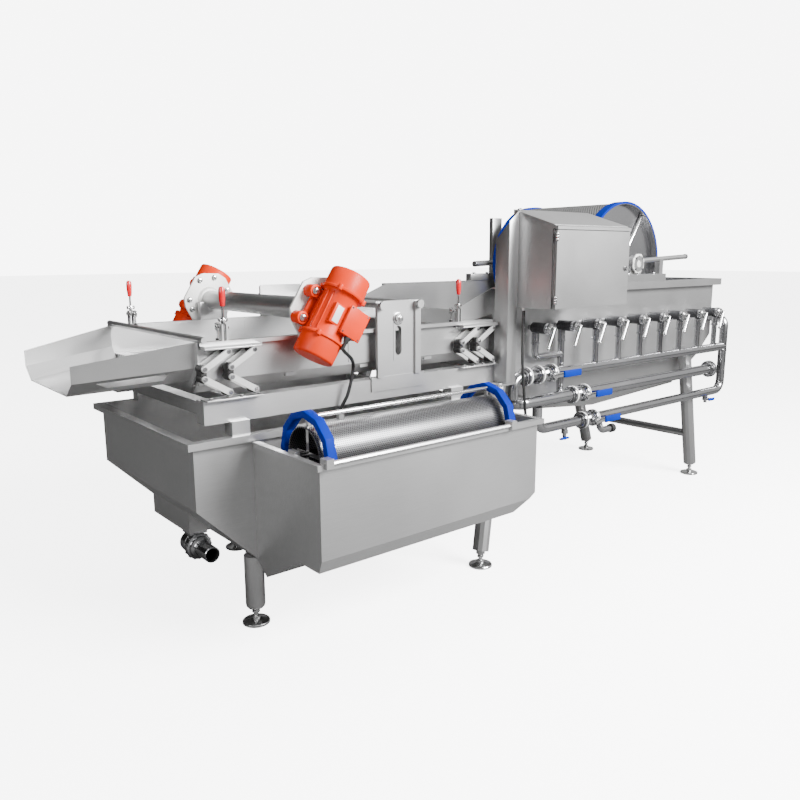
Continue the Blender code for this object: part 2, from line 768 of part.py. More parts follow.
# Filter tank and its drum
def filter_cross_outline():
    """Cross-section of the filter tank, anticlockwise."""
    top = FILTER_TOP - TANK_SHEET / 2
    rise = FILTER_NEAR_FLOOR - FILTER_BACK_FLOOR
    return [
        (-FILTER_NEAR, top),
        (-FILTER_NEAR, FILTER_NEAR_FLOOR + rise * 0.35),
        (-FILTER_NEAR + FILTER_DEPTH * 0.04, FILTER_NEAR_FLOOR),
        (-FILTER_NEAR + FILTER_DEPTH * 0.32, FILTER_NEAR_FLOOR),
        (-FILTER_BACK - FILTER_DEPTH * 0.15, FILTER_BACK_FLOOR),
        (-FILTER_BACK, FILTER_BACK_FLOOR + rise * 0.35),
        (-FILTER_BACK, top),
    ]


def filter_side_outline():
    """Side view of the filter tank, anticlockwise."""
    top = FILTER_TOP - TANK_SHEET / 2
    corner = FILTER_NEAR_FLOOR - FILTER_BACK_FLOOR
    return [
        (FILTER_LEFT, FILTER_BACK_FLOOR - corner),
        (FILTER_RIGHT - corner, FILTER_BACK_FLOOR - corner),
        (FILTER_RIGHT - corner, FILTER_NEAR_FLOOR - corner * 0.1),
        (FILTER_RIGHT, FILTER_NEAR_FLOOR + corner * 0.5),
        (FILTER_RIGHT, top),
        (FILTER_LEFT, top),
    ]


def build_filter_tank():
    """Open tank for the rotary filter, with shaft bearings, a rim and a front bar."""
    top = FILTER_TOP - TANK_SHEET / 2
    side = filter_side_outline()
    cross = filter_cross_outline()
    outer = overlap(
        prism(side, "y", -FILTER_NEAR * 1.2, 0),
        prism(cross, "x", 0, FILTER_RIGHT * 1.2),
    )
    inner = overlap(
        prism(opened(side, TANK_SHEET, top), "y", -FILTER_NEAR * 1.2, 0),
        prism(opened(cross, TANK_SHEET, top), "x", 0, FILTER_RIGHT * 1.2),
    )
    rim = rim_ring(
        (FILTER_LEFT, -FILTER_NEAR), (FILTER_RIGHT, 0),
        FILTER_TOP, FILTER_RIM_OUT, FILTER_RIM_OUT, TANK_SHEET,
    )
    rim_cut = block(
        (0, -FILTER_BACK - COLLECTOR_RIM_OUT - TANK_SHEET * 2, FILTER_TOP - FILTER_RIM_OUT * 2),
        (FILTER_RIGHT * 1.2, FILTER_NEAR, FILTER_TOP + FILTER_RIM_OUT),
    )
    rim = fused([rim], [rim_cut])
    pieces = [fused([outer], [inner]), rim]
    half = FILTER_SHAFT_RADIUS * 1.8
    for x, sign in ((FILTER_LEFT, 1), (FILTER_RIGHT, -1)):
        low_x, high_x = sorted((x + sign * TANK_SHEET / 2, x + sign * (TANK_SHEET + FILTER_BEARING)))
        pieces.append(block(
            (low_x, FILTER_AXIS_Y - half, FILTER_AXIS_Z - half * 2),
            (high_x, FILTER_AXIS_Y + half, FILTER_AXIS_Z + half),
        ))
    bar_y = -FILTER_NEAR - FILTER_RIM_OUT
    bar_left = FILTER_LEFT + FILTER_RIM_OUT
    bar_right = FILTER_RIGHT - FILTER_DEPTH * 0.4
    bar_radius = FILTER_RIM_OUT * 0.45
    pieces.append(rod((bar_left, bar_y, FILTER_TOP), (bar_right, bar_y, FILTER_TOP), bar_radius))
    stop = bar_radius * 1.6
    for x in (bar_left, bar_right):
        pieces.append(block(
            (x - stop, bar_y - stop, FILTER_TOP - stop),
            (x + stop, bar_y + stop * 1.6, FILTER_TOP + stop * 1.3),
        ))
    drive = filter_drive()
    reach = TANK_SHEET + FIT_GAP * 2
    bore = rod(
        (FILTER_LEFT + reach, FILTER_AXIS_Y, FILTER_AXIS_Z),
        (FILTER_RIGHT - reach, FILTER_AXIS_Y, FILTER_AXIS_Z),
        FILTER_SHAFT_RADIUS + FIT_GAP * 2, ROUND_SIDES,
    )
    body = fused(pieces, [bore])
    return finish(fused([body] + drive), "filter_tank", "steel")


def filter_drive():
    """The drive housing on the filter tank's end wall, with its cable gland."""
    y = -FILTER_BACK - FILTER_DEPTH * 0.3
    z = FILTER_TOP - FILTER_DEPTH * 0.5
    radius = FILTER_RIM_OUT * 2
    start = (FILTER_RIGHT - TANK_SHEET / 2, y, z)
    housing = rod(start, (FILTER_RIGHT + FILTER_RIM_OUT, y, z), radius, ROUND_SIDES)
    tip = (FILTER_RIGHT + FILTER_RIM_OUT * 1.6, y, z)
    gland = rod((FILTER_RIGHT + FILTER_RIM_OUT / 2, y, z), tip, CABLE_RADIUS * 1.8)
    return [housing, gland]


def filter_span():
    """The two ends of the filter drum along the machine."""
    return (FILTER_LEFT + FILTER_DRUM_LEFT_GAP, FILTER_RIGHT - FILTER_DRUM_RIGHT_GAP)


def build_filter_drum():
    """Open-ended screen drum on a shaft, with spokes out to the hoops."""
    left, right = filter_span()
    y = FILTER_AXIS_Y
    z = FILTER_AXIS_Z
    shell = rod((left, y, z), (right, y, z), FILTER_DRUM_RADIUS, LARGE_SIDES)
    hollow_radius = FILTER_DRUM_RADIUS - TANK_SHEET
    over = FILTER_HOOP_WIDTH
    hollow = rod((left - over, y, z), (right + over, y, z), hollow_radius, LARGE_SIDES)
    pieces = [fused([shell], [hollow])]
    shaft_gap = TANK_SHEET + FIT_GAP * 3
    pieces.append(rod(
        (FILTER_LEFT + shaft_gap, y, z), (FILTER_RIGHT - shaft_gap, y, z),
        FILTER_SHAFT_RADIUS, ROUND_SIDES,
    ))
    reach = FILTER_HOOP_RADIUS
    half = FILTER_SHAFT_RADIUS * 0.7
    spoke_end = FILTER_HOOP_INNER - FIT_GAP * 2
    for x in (left + FILTER_HOOP_WIDTH / 2, right - FILTER_HOOP_WIDTH / 2):
        flat = block((x - half / 2, y - reach, z - half), (x + half / 2, y + reach, z + half))
        upright = block((x - half / 3, y - half, z - reach), (x + half / 3, y + half, z + reach))
        for bar in (flat, upright):
            disc = rod((x - half, y, z), (x + half, y, z), spoke_end, FILTER_HOOP_SIDES)
            pieces.append(overlap(bar, disc))
    origin = ((left + right) / 2, y, z)
    return finish(fused(pieces), "filter_drum", "steel", origin)


def build_filter_hoops():
    """Faceted hoops on the two ends of the filter drum."""
    left, right = filter_span()
    y = FILTER_AXIS_Y
    z = FILTER_AXIS_Z
    over = FILTER_HOOP_WIDTH
    spans = {
        "filter_hoop_left": (left, left + FILTER_HOOP_WIDTH),
        "filter_hoop_right": (right - FILTER_HOOP_WIDTH, right),
    }
    for name, (low, high) in spans.items():
        outer = rod((low, y, z), (high, y, z), FILTER_HOOP_RADIUS, FILTER_HOOP_SIDES)
        bore = rod((low - over, y, z), (high + over, y, z), FILTER_HOOP_INNER, FILTER_HOOP_SIDES)
        finish(fused([outer], [bore]), name, "blue", ((low + high) / 2, y, z))


def build_filter_bar():
    """Round bar between the two hoops, at their upper side."""
    left, right = filter_span()
    radius = (FILTER_HOOP_RADIUS + FILTER_HOOP_INNER) / 2 - FILTER_BAR_RADIUS / 3
    angle = math.radians(100)
    y = FILTER_AXIS_Y + radius * math.cos(angle)
    z = FILTER_AXIS_Z + radius * math.sin(angle)
    start = (left + FILTER_HOOP_WIDTH + FIT_GAP, y, z)
    end = (right - FILTER_HOOP_WIDTH - FIT_GAP, y, z)
    return finish(rod(start, end, FILTER_BAR_RADIUS), "filter_bar", "polished")


def build_drain_valve():
    """Drain valve under the sump, with its spout toward the operator side."""
    top = SUMP_FLOOR - FIT_GAP
    plate = DRAIN_BODY_RADIUS * 0.25
    half = DRAIN_BODY_RADIUS * 0.85
    flange = block((DRAIN_X - half, DRAIN_Y - half, top - plate), (DRAIN_X + half, DRAIN_Y + half, top))
    neck = rod((DRAIN_X, DRAIN_Y, top - plate / 2), (DRAIN_X, DRAIN_Y, DRAIN_Z), half * 0.8)
    back = DRAIN_Y + DRAIN_BODY_RADIUS * 1.3
    front = DRAIN_Y - DRAIN_BODY_RADIUS * 1.3
    end = front - DRAIN_SPOUT_LENGTH
    profile = [
        (0, 0), (DRAIN_BODY_RADIUS, 0), (DRAIN_BODY_RADIUS, back - front - DRAIN_BODY_RADIUS),
        (DRAIN_RING_RADIUS, back - front - DRAIN_BODY_RADIUS),
        (DRAIN_RING_RADIUS, back - front - DRAIN_BODY_RADIUS * 0.4),
        (DRAIN_SPOUT_RADIUS * 1.15, back - front),
        (DRAIN_SPOUT_RADIUS, back - end), (DRAIN_SPOUT_RADIUS * 0.86, back - end),
        (DRAIN_SPOUT_RADIUS * 0.86, back - front), (0, back - front),
    ]
    body = turned(profile, (DRAIN_X, back, DRAIN_Z), (0, -1, 0))
    return finish(fused([body, neck, flange]), "drain_valve", "polished")


# Fixed frame, column and cabinet
def build_screen_frame():
    """Two side rails joined by cross bars, standing on the collector rim."""
    pieces = []
    for sign in (-1, 1):
        low, high = sorted((sign * RAIL_INNER, sign * RAIL_OUTER))
        pieces.append(block((DECK_LEFT, low, RAIL_BOTTOM), (RAIL_RIGHT, high, RAIL_TOP)))
    bars = [
        DECK_LEFT + FRAME_BAR_SETBACK,
        DECK_LEFT + FRAME_BAR_SETBACK + FRAME_BAR_SPACING,
        DECK_RIGHT - FRAME_BAR_SETBACK - FRAME_BAR,
    ]
    middle = (RAIL_BOTTOM + RAIL_TOP) / 2
    reach = RAIL_INNER + RAIL_WIDTH / 2
    for x in bars:
        bar_low = middle - FRAME_BAR / 2
        pieces.append(block((x, -reach, bar_low), (x + FRAME_BAR, reach, bar_low + FRAME_BAR)))
    seat = COLLECTOR_RIM + FIT_GAP
    for x in (bars[1] - FRAME_BAR_SPACING / 2, COLLECTOR_RIGHT - FRAME_BAR * 2):
        for sign in (-1, 1):
            shift = RAIL_WIDTH * 0.3
            low, high = sorted((sign * (RAIL_INNER + shift), sign * (RAIL_OUTER + shift)))
            pieces.append(block((x, low, seat), (x + FRAME_BAR * 1.4, high, RAIL_BOTTOM + FRAME_SHEET)))
    return finish(fused(pieces), "screen_frame", "steel")


def build_column():
    """Channel-section column with a slanted top, open toward the deck."""
    outline = [
        (-COLUMN_NEAR, RAIL_BOTTOM),
        (-COLUMN_BACK, RAIL_BOTTOM),
        (-COLUMN_BACK, COLUMN_TOP),
        (-COLUMN_NEAR + COLUMN_DEPTH * 0.45, COLUMN_TOP),
        (-COLUMN_NEAR, COLUMN_NEAR_TOP),
    ]
    outer = prism(outline, "x", COLUMN_LEFT, COLUMN_RIGHT)
    inner = prism(inset(outline, FRAME_SHEET), "x", COLUMN_LEFT - FRAME_SHEET, COLUMN_RIGHT - FRAME_SHEET)
    return finish(fused([outer], [inner]), "column", "steel")


def cabinet_outline():
    """Side view of the cabinet, looking along the machine, anticlockwise."""
    return [
        (-CABINET_FRONT, CABINET_BOTTOM),
        (-CABINET_BACK, CABINET_BOTTOM),
        (-CABINET_BACK, CABINET_BOTTOM + CABINET_BACK_HEIGHT),
        (-CABINET_FRONT, CABINET_BOTTOM + CABINET_FRONT_HEIGHT),
    ]


def build_cabinet():
    """Sheet cabinet with a sloped roof, an open front and its inner mounting plate."""
    outline = cabinet_outline()
    outer = prism(outline, "x", CABINET_LEFT, CABINET_RIGHT)
    inner = prism(inset(outline, FRAME_SHEET), "x", CABINET_LEFT + FRAME_SHEET, CABINET_RIGHT - FRAME_SHEET)
    margin = CABINET_DEPTH * 0.1
    door_top = CABINET_BOTTOM + DOOR_HEIGHT
    mouth = block(
        (CABINET_LEFT + margin, -CABINET_FRONT - margin, CABINET_BOTTOM + margin),
        (CABINET_RIGHT - margin, -CABINET_FRONT + margin, door_top - margin),
    )
    shell = fused([outer], [inner, mouth])
    roof_front = CABINET_BOTTOM + CABINET_FRONT_HEIGHT
    slope = (CABINET_BACK_HEIGHT - CABINET_FRONT_HEIGHT) / CABINET_DEPTH
    lip_reach = DOOR_THICKNESS * 1.3
    lip = prism(
        [
            (-CABINET_FRONT - lip_reach, door_top + FIT_GAP * 10),
            (-CABINET_FRONT + FRAME_SHEET / 2, door_top + FIT_GAP * 10),
            (-CABINET_FRONT + FRAME_SHEET / 2, roof_front - FRAME_SHEET / 2),
            (-CABINET_FRONT - lip_reach, roof_front - slope * lip_reach - FRAME_SHEET / 2),
        ],
        "x", CABINET_LEFT, CABINET_RIGHT,
    )
    plate = block(
        (CABINET_LEFT + margin * 2, -CABINET_BACK - margin * 0.6, CABINET_BOTTOM + margin * 2),
        (
            CABINET_RIGHT - margin * 2, -CABINET_BACK - margin * 0.4,
            CABINET_BOTTOM + CABINET_FRONT_HEIGHT * 0.85,
        ),
    )
    pieces = [shell, lip, plate]
    for share_x in (0.15, 0.85):
        for share_z in (0.2, 0.7):
            x = CABINET_LEFT + CABINET_WIDTH * share_x
            z = CABINET_BOTTOM + CABINET_FRONT_HEIGHT * share_z
            start = (x, -CABINET_BACK - margin * 0.5, z)
            pieces.append(rod(start, (x, -CABINET_BACK - FRAME_SHEET / 2, z), margin * 0.25, 8))
    rim_face = TANK_HALF_WIDTH + TANK_RIM_OUT + FIT_GAP
    for share in (0.12, 0.8):
        x = CABINET_LEFT + CABINET_WIDTH * share
        pieces.append(block(
            (x, -CABINET_BACK - FRAME_SHEET / 2, TANK_RIM - TANK_RIM_LIP),
            (x + COLUMN_WIDTH / 2, -rim_face, TANK_RIM - FRAME_SHEET),
        ))
    gland_x = CABINET_LEFT + COLUMN_WIDTH * 0.45
    gland_y = -CABINET_BACK - COLUMN_DEPTH * 0.6
    pieces.append(rod(
        (gland_x, gland_y, CABINET_BOTTOM + FRAME_SHEET / 2),
        (gland_x, gland_y, CABINET_BOTTOM - CABLE_RADIUS * 2),
        CABLE_RADIUS * 1.7,
    ))
    return finish(fused(pieces), "cabinet", "steel")


def build_cabinet_door():
    """Folded door on two hinge barrels at its left edge, with a flush lock."""
    side_gap = FIT_GAP * 8
    back = -CABINET_FRONT - FIT_GAP
    front = back - DOOR_THICKNESS
    low_z = CABINET_BOTTOM + side_gap
    high_z = CABINET_BOTTOM + DOOR_HEIGHT
    panel = block((CABINET_LEFT + side_gap, front, low_z), (CABINET_RIGHT - side_gap, back, high_z))
    edge = DOOR_THICKNESS
    pan = block(
        (CABINET_LEFT + side_gap + edge, front + FRAME_SHEET / 2, low_z + edge),
        (CABINET_RIGHT - side_gap - edge, back + FRAME_SHEET, high_z - edge),
    )
    pieces = [fused([panel], [pan])]
    hinge_x = CABINET_LEFT + side_gap
    hinge_y = front
    radius = DOOR_THICKNESS * 0.35
    for share in (0.06, 0.86):
        z = low_z + DOOR_HEIGHT * share
        pieces.append(rod((hinge_x, hinge_y, z), (hinge_x, hinge_y, z + DOOR_HEIGHT * 0.1), radius))
    lock_x = CABINET_RIGHT - CABINET_WIDTH * 0.05
    lock_z = low_z + DOOR_HEIGHT * 0.5
    start = (lock_x, front + FRAME_SHEET / 4, lock_z)
    pieces.append(rod(start, (lock_x, front - FRAME_SHEET / 2, lock_z), DOOR_THICKNESS * 0.6, ROUND_SIDES))
    return finish(fused(pieces), "cabinet_door", "steel", (hinge_x, hinge_y, (low_z + high_z) / 2))


# Legs and feet
def leg_pieces(foot_x, foot_y, top):
    """A round leg from its plug above the foot to a top point."""
    bottom = (foot_x, foot_y, LEG_BOTTOM)
    tube = rod(bottom, top, LEG_RADIUS, ROUND_SIDES)
    plug_low = (foot_x, foot_y, LEG_BOTTOM - LEG_PLUG)
    plug_high = (foot_x, foot_y, LEG_BOTTOM + LEG_PLUG)
    plug = rod(plug_low, plug_high, LEG_RADIUS * 0.55, ROUND_SIDES)
    return [tube, plug]


def build_upright_leg(name, x, y):
    """A vertical leg with a flange plate under the collector's floor."""
    top = COLLECTOR_FLOOR - FIT_GAP
    pieces = leg_pieces(x, y, (x, y, top))
    half = LEG_RADIUS * 1.25
    cap_start = (x - LEG_RADIUS * 0.3, y - half, top - FRAME_SHEET)
    pieces.append(block(cap_start, (x + half * 1.2, y + half, top)))
    return finish(fused(pieces), name, "steel")


def build_middle_leg(name, sign):
    """A leaning leg with a cap plate under the rail and a bracket to the collector."""
    cap_top = RAIL_BOTTOM - FIT_GAP
    cap_bottom = cap_top - FRAME_SHEET * 2
    top_x = (COLUMN_LEFT + COLUMN_RIGHT) / 2 - LEG_RADIUS
    top_y = sign * (COLUMN_BACK + LEG_RADIUS)
    tube_top = (top_x, top_y, cap_bottom + FRAME_SHEET / 2)
    pieces = leg_pieces(MIDDLE_LEG_FOOT_X, sign * MIDDLE_LEG_FOOT_Y, tube_top)
    near = sign * COLUMN_NEAR
    inner = sign * (RAIL_INNER + RAIL_WIDTH * 0.2)
    low_y, high_y = sorted((near, inner))
    pieces.append(block((top_x - LEG_RADIUS * 1.2, low_y, cap_bottom), (COLUMN_RIGHT, high_y, cap_top)))
    z = COLLECTOR_FLOOR + (COLLECTOR_RIM - COLLECTOR_FLOOR) * 0.65
    share = z / cap_bottom
    leg_x = MIDDLE_LEG_FOOT_X + (top_x - MIDDLE_LEG_FOOT_X) * share
    leg_y = sign * (MIDDLE_LEG_FOOT_Y + (abs(top_y) - MIDDLE_LEG_FOOT_Y) * share)
    half = FRAME_BAR * 0.4
    low_y, high_y = sorted((leg_y, sign * (COLLECTOR_HALF_WIDTH - FRAME_BAR)))
    pieces.append(block((COLLECTOR_RIGHT + FIT_GAP, low_y, z - half), (leg_x, high_y, z + half)))
    return finish(fused(pieces), name, "steel")


def build_end_stand():
    """Two leaning legs joined by a brace, with pads on the tank's side walls."""
    pad = FRAME_SHEET * 1.5
    face = TANK_HALF_WIDTH + FIT_GAP
    top_x = END_LEG_FOOT_X - END_LEG_LEAN
    top_z = TANK_FOLD + LEG_RADIUS
    pieces = []
    for sign in (-1, 1):
        top_y = sign * (face + LEG_RADIUS + pad / 2)
        pieces += leg_pieces(END_LEG_FOOT_X, sign * END_LEG_FOOT_Y, (top_x, top_y, top_z))
        low, high = sorted((sign * face, sign * (face + pad)))
        pieces.append(block(
            (top_x - LEG_RADIUS * 1.6, low, TANK_FOLD + FRAME_SHEET),
            (top_x + LEG_RADIUS * 1.6, high, top_z + LEG_RADIUS * 0.6),
        ))
    brace_x = END_LEG_FOOT_X - END_LEG_LEAN * BRACE_HEIGHT / top_z
    pieces.append(rod(
        (brace_x, -END_LEG_FOOT_Y, BRACE_HEIGHT), (brace_x, END_LEG_FOOT_Y, BRACE_HEIGHT),
        BRACE_RADIUS, ROUND_SIDES,
    ))
    return finish(fused(pieces), "end_stand", "steel")


def build_foot(name, x, y):
    """Levelling foot: a dished disc, a nut and a spindle up to the leg's plug."""
    top = LEG_BOTTOM - LEG_PLUG - FIT_GAP
    nut = SPINDLE_RADIUS * 1.7
    profile = [
        (0, 0), (FOOT_RADIUS * 0.94, 0), (FOOT_RADIUS, FOOT_HEIGHT * 0.3),
        (FOOT_RADIUS, FOOT_HEIGHT * 0.7), (FOOT_RADIUS * 0.9, FOOT_HEIGHT),
        (nut, FOOT_HEIGHT * 1.4), (nut, FOOT_HEIGHT * 2),
        (SPINDLE_RADIUS, FOOT_HEIGHT * 2.1), (SPINDLE_RADIUS, top), (0, top),
    ]
    return finish(turned(profile, (x, y, 0), (0, 0, 1)), name, "polished")


# Vibrating deck
def deck_wall():
    """Outline of the near side wall: lip, flange, wall and folded lower edge."""
    path = [
        (-DECK_EDGE, DECK_TOP - DECK_LIP),
        (-DECK_EDGE, DECK_TOP),
        (-DECK_HALF_WIDTH, DECK_TOP),
        (-DECK_HALF_WIDTH, DECK_FOLD),
        (-DECK_HALF_WIDTH + DECK_UNDER_FOLD, DECK_UNDERSIDE),
    ]
    return strip(path, -FRAME_SHEET)


def build_deck():
    """Trough with folded side walls, cross members, brackets and clamp bases."""
    near = prism(deck_wall(), "x", DECK_LEFT, DECK_RIGHT)
    side = [near]
    left_bracket = DECK_LEFT + MOUNT_INSET
    right_bracket = DECK_RIGHT - MOUNT_INSET - MOUNT_WIDTH
    for x in (left_bracket, right_bracket):
        side.append(block(
            (x, -DECK_HALF_WIDTH - BRACKET_DEPTH - BRACKET_PLATE * 2, MOUNT_TOP),
            (x + MOUNT_WIDTH, -DECK_HALF_WIDTH + FRAME_SHEET / 2, MOUNT_TOP + BRACKET_PLATE),
        ))
    for x in clamp_places():
        side += clamp_base(x)
    gusset_x = BEAM_X + END_PLATE_HEIGHT * 0.62
    side.append(block(
        (gusset_x, -DECK_HALF_WIDTH - BRACKET_PLATE, DECK_FOLD + DECK_LIP / 2),
        (gusset_x + END_PLATE_WIDTH * 0.4, -DECK_HALF_WIDTH + FRAME_SHEET / 2, DECK_TOP - DECK_LIP),
    ))
    pieces = [fused(side)]
    pieces += mirrored(pieces)
    reach = DECK_HALF_WIDTH - FRAME_SHEET / 2
    step = (DECK_LENGTH - CROSS_MEMBER_WIDTH - FRAME_SHEET * 2) / (CROSS_MEMBER_COUNT - 1)
    for k in range(CROSS_MEMBER_COUNT):
        x = DECK_LEFT + FRAME_SHEET + k * step
        low_z = SCREEN_SEAT - CROSS_MEMBER_HEIGHT
        pieces.append(block((x, -reach, low_z), (x + CROSS_MEMBER_WIDTH, reach, SCREEN_SEAT)))
    pieces.append(block(
        (DECK_RIGHT - FRAME_SHEET * 1.5, -reach, SCREEN_SEAT - CROSS_MEMBER_HEIGHT / 2),
        (DECK_RIGHT - FRAME_SHEET / 2, reach, DECK_FOLD + DECK_END_WALL),
    ))
    bar_z = DECK_TOP + FRONT_BAR_RADIUS * 0.6
    bar_x = DECK_LEFT + FRONT_BAR_RADIUS
    bar_reach = DECK_EDGE + FRONT_BAR_RADIUS
    pieces.append(rod((bar_x, -bar_reach, bar_z), (bar_x, bar_reach, bar_z), FRONT_BAR_RADIUS))
    return finish(fused(pieces), "deck", "steel")


def clamp_places():
    """Positions of the toggle clamps along the deck."""
    return (DECK_LEFT + CLAMP_LEFT_INSET, DECK_RIGHT - CLAMP_RIGHT_INSET)


def clamp_pivot(x, sign):
    """The pivot point of a toggle clamp."""
    return (x, sign * (DECK_HALF_WIDTH + DECK_FLANGE / 2), DECK_TOP + CLAMP_PIVOT_RISE)


def clamp_base(x):
    """Two upright ears with a foot plate, for the near side."""
    _, y, z = clamp_pivot(x, -1)
    gap = CLAMP_LEVER_THICKNESS / 2 + FIT_GAP * 2
    depth = DECK_FLANGE * 0.42
    pieces = []
    for sign in (-1, 1):
        low, high = sorted((x + sign * gap, x + sign * (gap + CLAMP_PLATE)))
        pieces.append(block((low, y - depth, DECK_TOP - FRAME_SHEET / 2), (high, y + depth, z + depth)))
    return pieces


def build_clamp(name, x, sign):
    """Toggle lever: an upright handle with a grip and a hold-down arm on one pivot."""
    px, py, pz = clamp_pivot(x, sign)
    half = CLAMP_LEVER_THICKNESS / 2
    depth = DECK_FLANGE * 0.3
    grip_low = pz + CLAMP_HANDLE_LENGTH - CLAMP_GRIP_LENGTH
    grip_high = pz + CLAMP_HANDLE_LENGTH
    plate = block((px - half, py - depth, pz - depth), (px + half, py + depth, grip_low + half))
    grip_profile = [
        (0, 0), (CLAMP_GRIP_RADIUS * 0.75, 0), (CLAMP_GRIP_RADIUS, CLAMP_GRIP_LENGTH * 0.1),
        (CLAMP_GRIP_RADIUS, CLAMP_GRIP_LENGTH * 0.85), (CLAMP_GRIP_RADIUS * 0.6, CLAMP_GRIP_LENGTH),
        (0, CLAMP_GRIP_LENGTH),
    ]
    grip = turned(grip_profile, (px, py, grip_high - CLAMP_GRIP_LENGTH), (0, 0, 1), SMALL_SIDES)
    arm_end = py - sign * CLAMP_ARM_LENGTH
    low, high = sorted((py, arm_end))
    arm = block((px - half, low, pz - depth), (px + half, high, pz + depth * 0.6))
    tip_y = arm_end + sign * half
    tip_low = DECK_TOP + FIT_GAP * 5 - DECK_FLANGE * 0.3
    spindle = rod((px, tip_y, pz), (px, tip_y, tip_low), CLAMP_LEVER_THICKNESS * 0.7)
    return finish(fused([plate, grip, arm, spindle]), name, "red", (px, py, pz))


def build_screen_panel():
    """Slotted screen plate that lies on the deck's cross members."""
    side_gap = FIT_GAP * 10
    half = DECK_HALF_WIDTH - FRAME_SHEET - side_gap
    left = DECK_LEFT + side_gap
    right = DECK_RIGHT - FRAME_SHEET * 1.5 - side_gap
    low_z = SCREEN_SEAT + FIT_GAP
    high_z = low_z + SCREEN_THICKNESS
    plate = block((left, -half, low_z), (right, half, high_z))
    bay = (right - left - SCREEN_EDGE) / SCREEN_BAYS
    row = (half * 2 - SCREEN_EDGE) / SCREEN_ROWS
    slots = []
    for i in range(SCREEN_BAYS):
        for j in range(SCREEN_ROWS):
            x = left + SCREEN_EDGE + i * bay
            y = -half + SCREEN_EDGE / 2 + j * row + row * SCREEN_BAR_SHARE / 2
            length = bay - SCREEN_EDGE
            width = row * (1 - SCREEN_BAR_SHARE)
            slots.append(((x, y, low_z - high_z), (x + length, y + width, high_z * 2)))
    body = plate
    for low, high in slots:
        combine(body, block(low, high), "DIFFERENCE")
    return finish(body, "screen_panel", "steel")


def chute_section(x, half, floor_half, top, floor, fold, grow=0, lift=0):
    """One cross-section of the chute as six points."""
    return [
        (x, -half - grow, top + lift),
        (x, -half - grow, floor + fold),
        (x, -floor_half - grow * 0.5, floor - grow),
        (x, floor_half + grow * 0.5, floor - grow),
        (x, half + grow, floor + fold),
        (x, half + grow, top + lift),
    ]


def mixed(first, second, share):
    """A section part of the way between two sections, or beyond them."""
    return [tuple(Vector(a).lerp(Vector(b), share)) for a, b in zip(first, second)]


def build_chute():
    """Tapering outfeed chute with a collar against the deck's end."""
    right = DECK_LEFT - FIT_GAP
    back_top = DECK_TOP
    back_floor = DECK_TOP - CHUTE_BACK_DROP
    back_half = DECK_HALF_WIDTH
    front_args = (
        CHUTE_FRONT_HALF_WIDTH, CHUTE_FRONT_FLOOR_HALF, CHUTE_FRONT_TOP, CHUTE_FRONT_FLOOR,
        CHUTE_FRONT_FOLD,
    )
    back_args = (back_half, back_half - CHUTE_BACK_FOLD, back_top, back_floor, CHUTE_BACK_FOLD)
    front = chute_section(0, *front_args)
    back = chute_section(right, *back_args)
    front_in = chute_section(0, *front_args, grow=-CHUTE_SHEET, lift=CHUTE_SHEET * 4)
    back_in = chute_section(right, *back_args, grow=-CHUTE_SHEET, lift=CHUTE_SHEET * 4)
    outer = loft(front, back)
    inner = loft(mixed(front_in, back_in, -0.05), mixed(front_in, back_in, 1.05))
    plate = CHUTE_SHEET * 2
    edge = CHUTE_COLLAR
    collar = loft(
        chute_section(right - plate, *back_args, grow=edge),
        chute_section(right, *back_args, grow=edge),
    )
    return finish(fused([outer, collar], [inner]), "chute", "steel")


# Mounts
def mount_side(x, y_low, y_high):
    """One spring unit: two arms from a middle block to the upper and lower plates."""
    low = RAIL_TOP + FIT_GAP + MOUNT_PLATE + MOUNT_PIN_RADIUS
    high = MOUNT_TOP - FIT_GAP - MOUNT_PLATE - MOUNT_PIN_RADIUS
    middle = (low + high) / 2
    inner_low = middle - MOUNT_MIDDLE_SPACING / 2
    inner_high = middle + MOUNT_MIDDLE_SPACING / 2
    left = x - MOUNT_REACH
    front = y_low
    pieces = []
    for end_z, mid_z in ((low, inner_low), (high, inner_high)):
        run = Vector((left - x, 0, mid_z - end_z))
        normal = Vector((-run.z, 0, run.x)).normalized() * MOUNT_ARM_HEIGHT / 2
        start = Vector((x, 0, end_z))
        end = Vector((left, 0, mid_z))
        corners = [start + normal, end + normal, end - normal, start - normal]
        outline = [(c.x, c.z) for c in corners]
        pieces.append(prism(outline, "y", front, front + MOUNT_ARM))
        pieces.append(rod((x, front - FIT_GAP * 5, end_z), (x, y_high, end_z), MOUNT_PIN_RADIUS * 1.1))
        pieces.append(rod((left, front - FIT_GAP * 5, mid_z), (left, y_high, mid_z), MOUNT_PIN_RADIUS))
    pieces.append(block(
        (left - MOUNT_PIN_RADIUS * 0.7, front + MOUNT_ARM * 0.6, inner_low),
        (left + MOUNT_PIN_RADIUS * 0.7, y_high - MOUNT_ARM * 0.2, inner_high),
    ))
    return pieces


def build_mount(name, left, sign):
    """Two spring units side by side between a lower and an upper plate."""
    near = -(MOUNT_BACK + MOUNT_DEPTH)
    back = -MOUNT_BACK
    right = left + MOUNT_WIDTH
    low = RAIL_TOP + FIT_GAP
    high = MOUNT_TOP - FIT_GAP
    pieces = [
        block((left, near, low), (right, back, low + MOUNT_PLATE)),
        block((left, near, high - MOUNT_PLATE), (right, back, high)),
    ]
    first_x = left + MOUNT_REACH + MOUNT_PIN_RADIUS
    second_x = right - MOUNT_PIN_RADIUS * 1.2
    for x in (first_x, second_x):
        pieces += mount_side(x, near + FIT_GAP * 8, back - FIT_GAP * 4)
    if sign > 0:
        copies = mirrored(pieces)
        for piece in pieces:
            bpy.data.objects.remove(piece, do_unlink=True)
        pieces = copies
    return finish(fused(pieces), name, "grey")


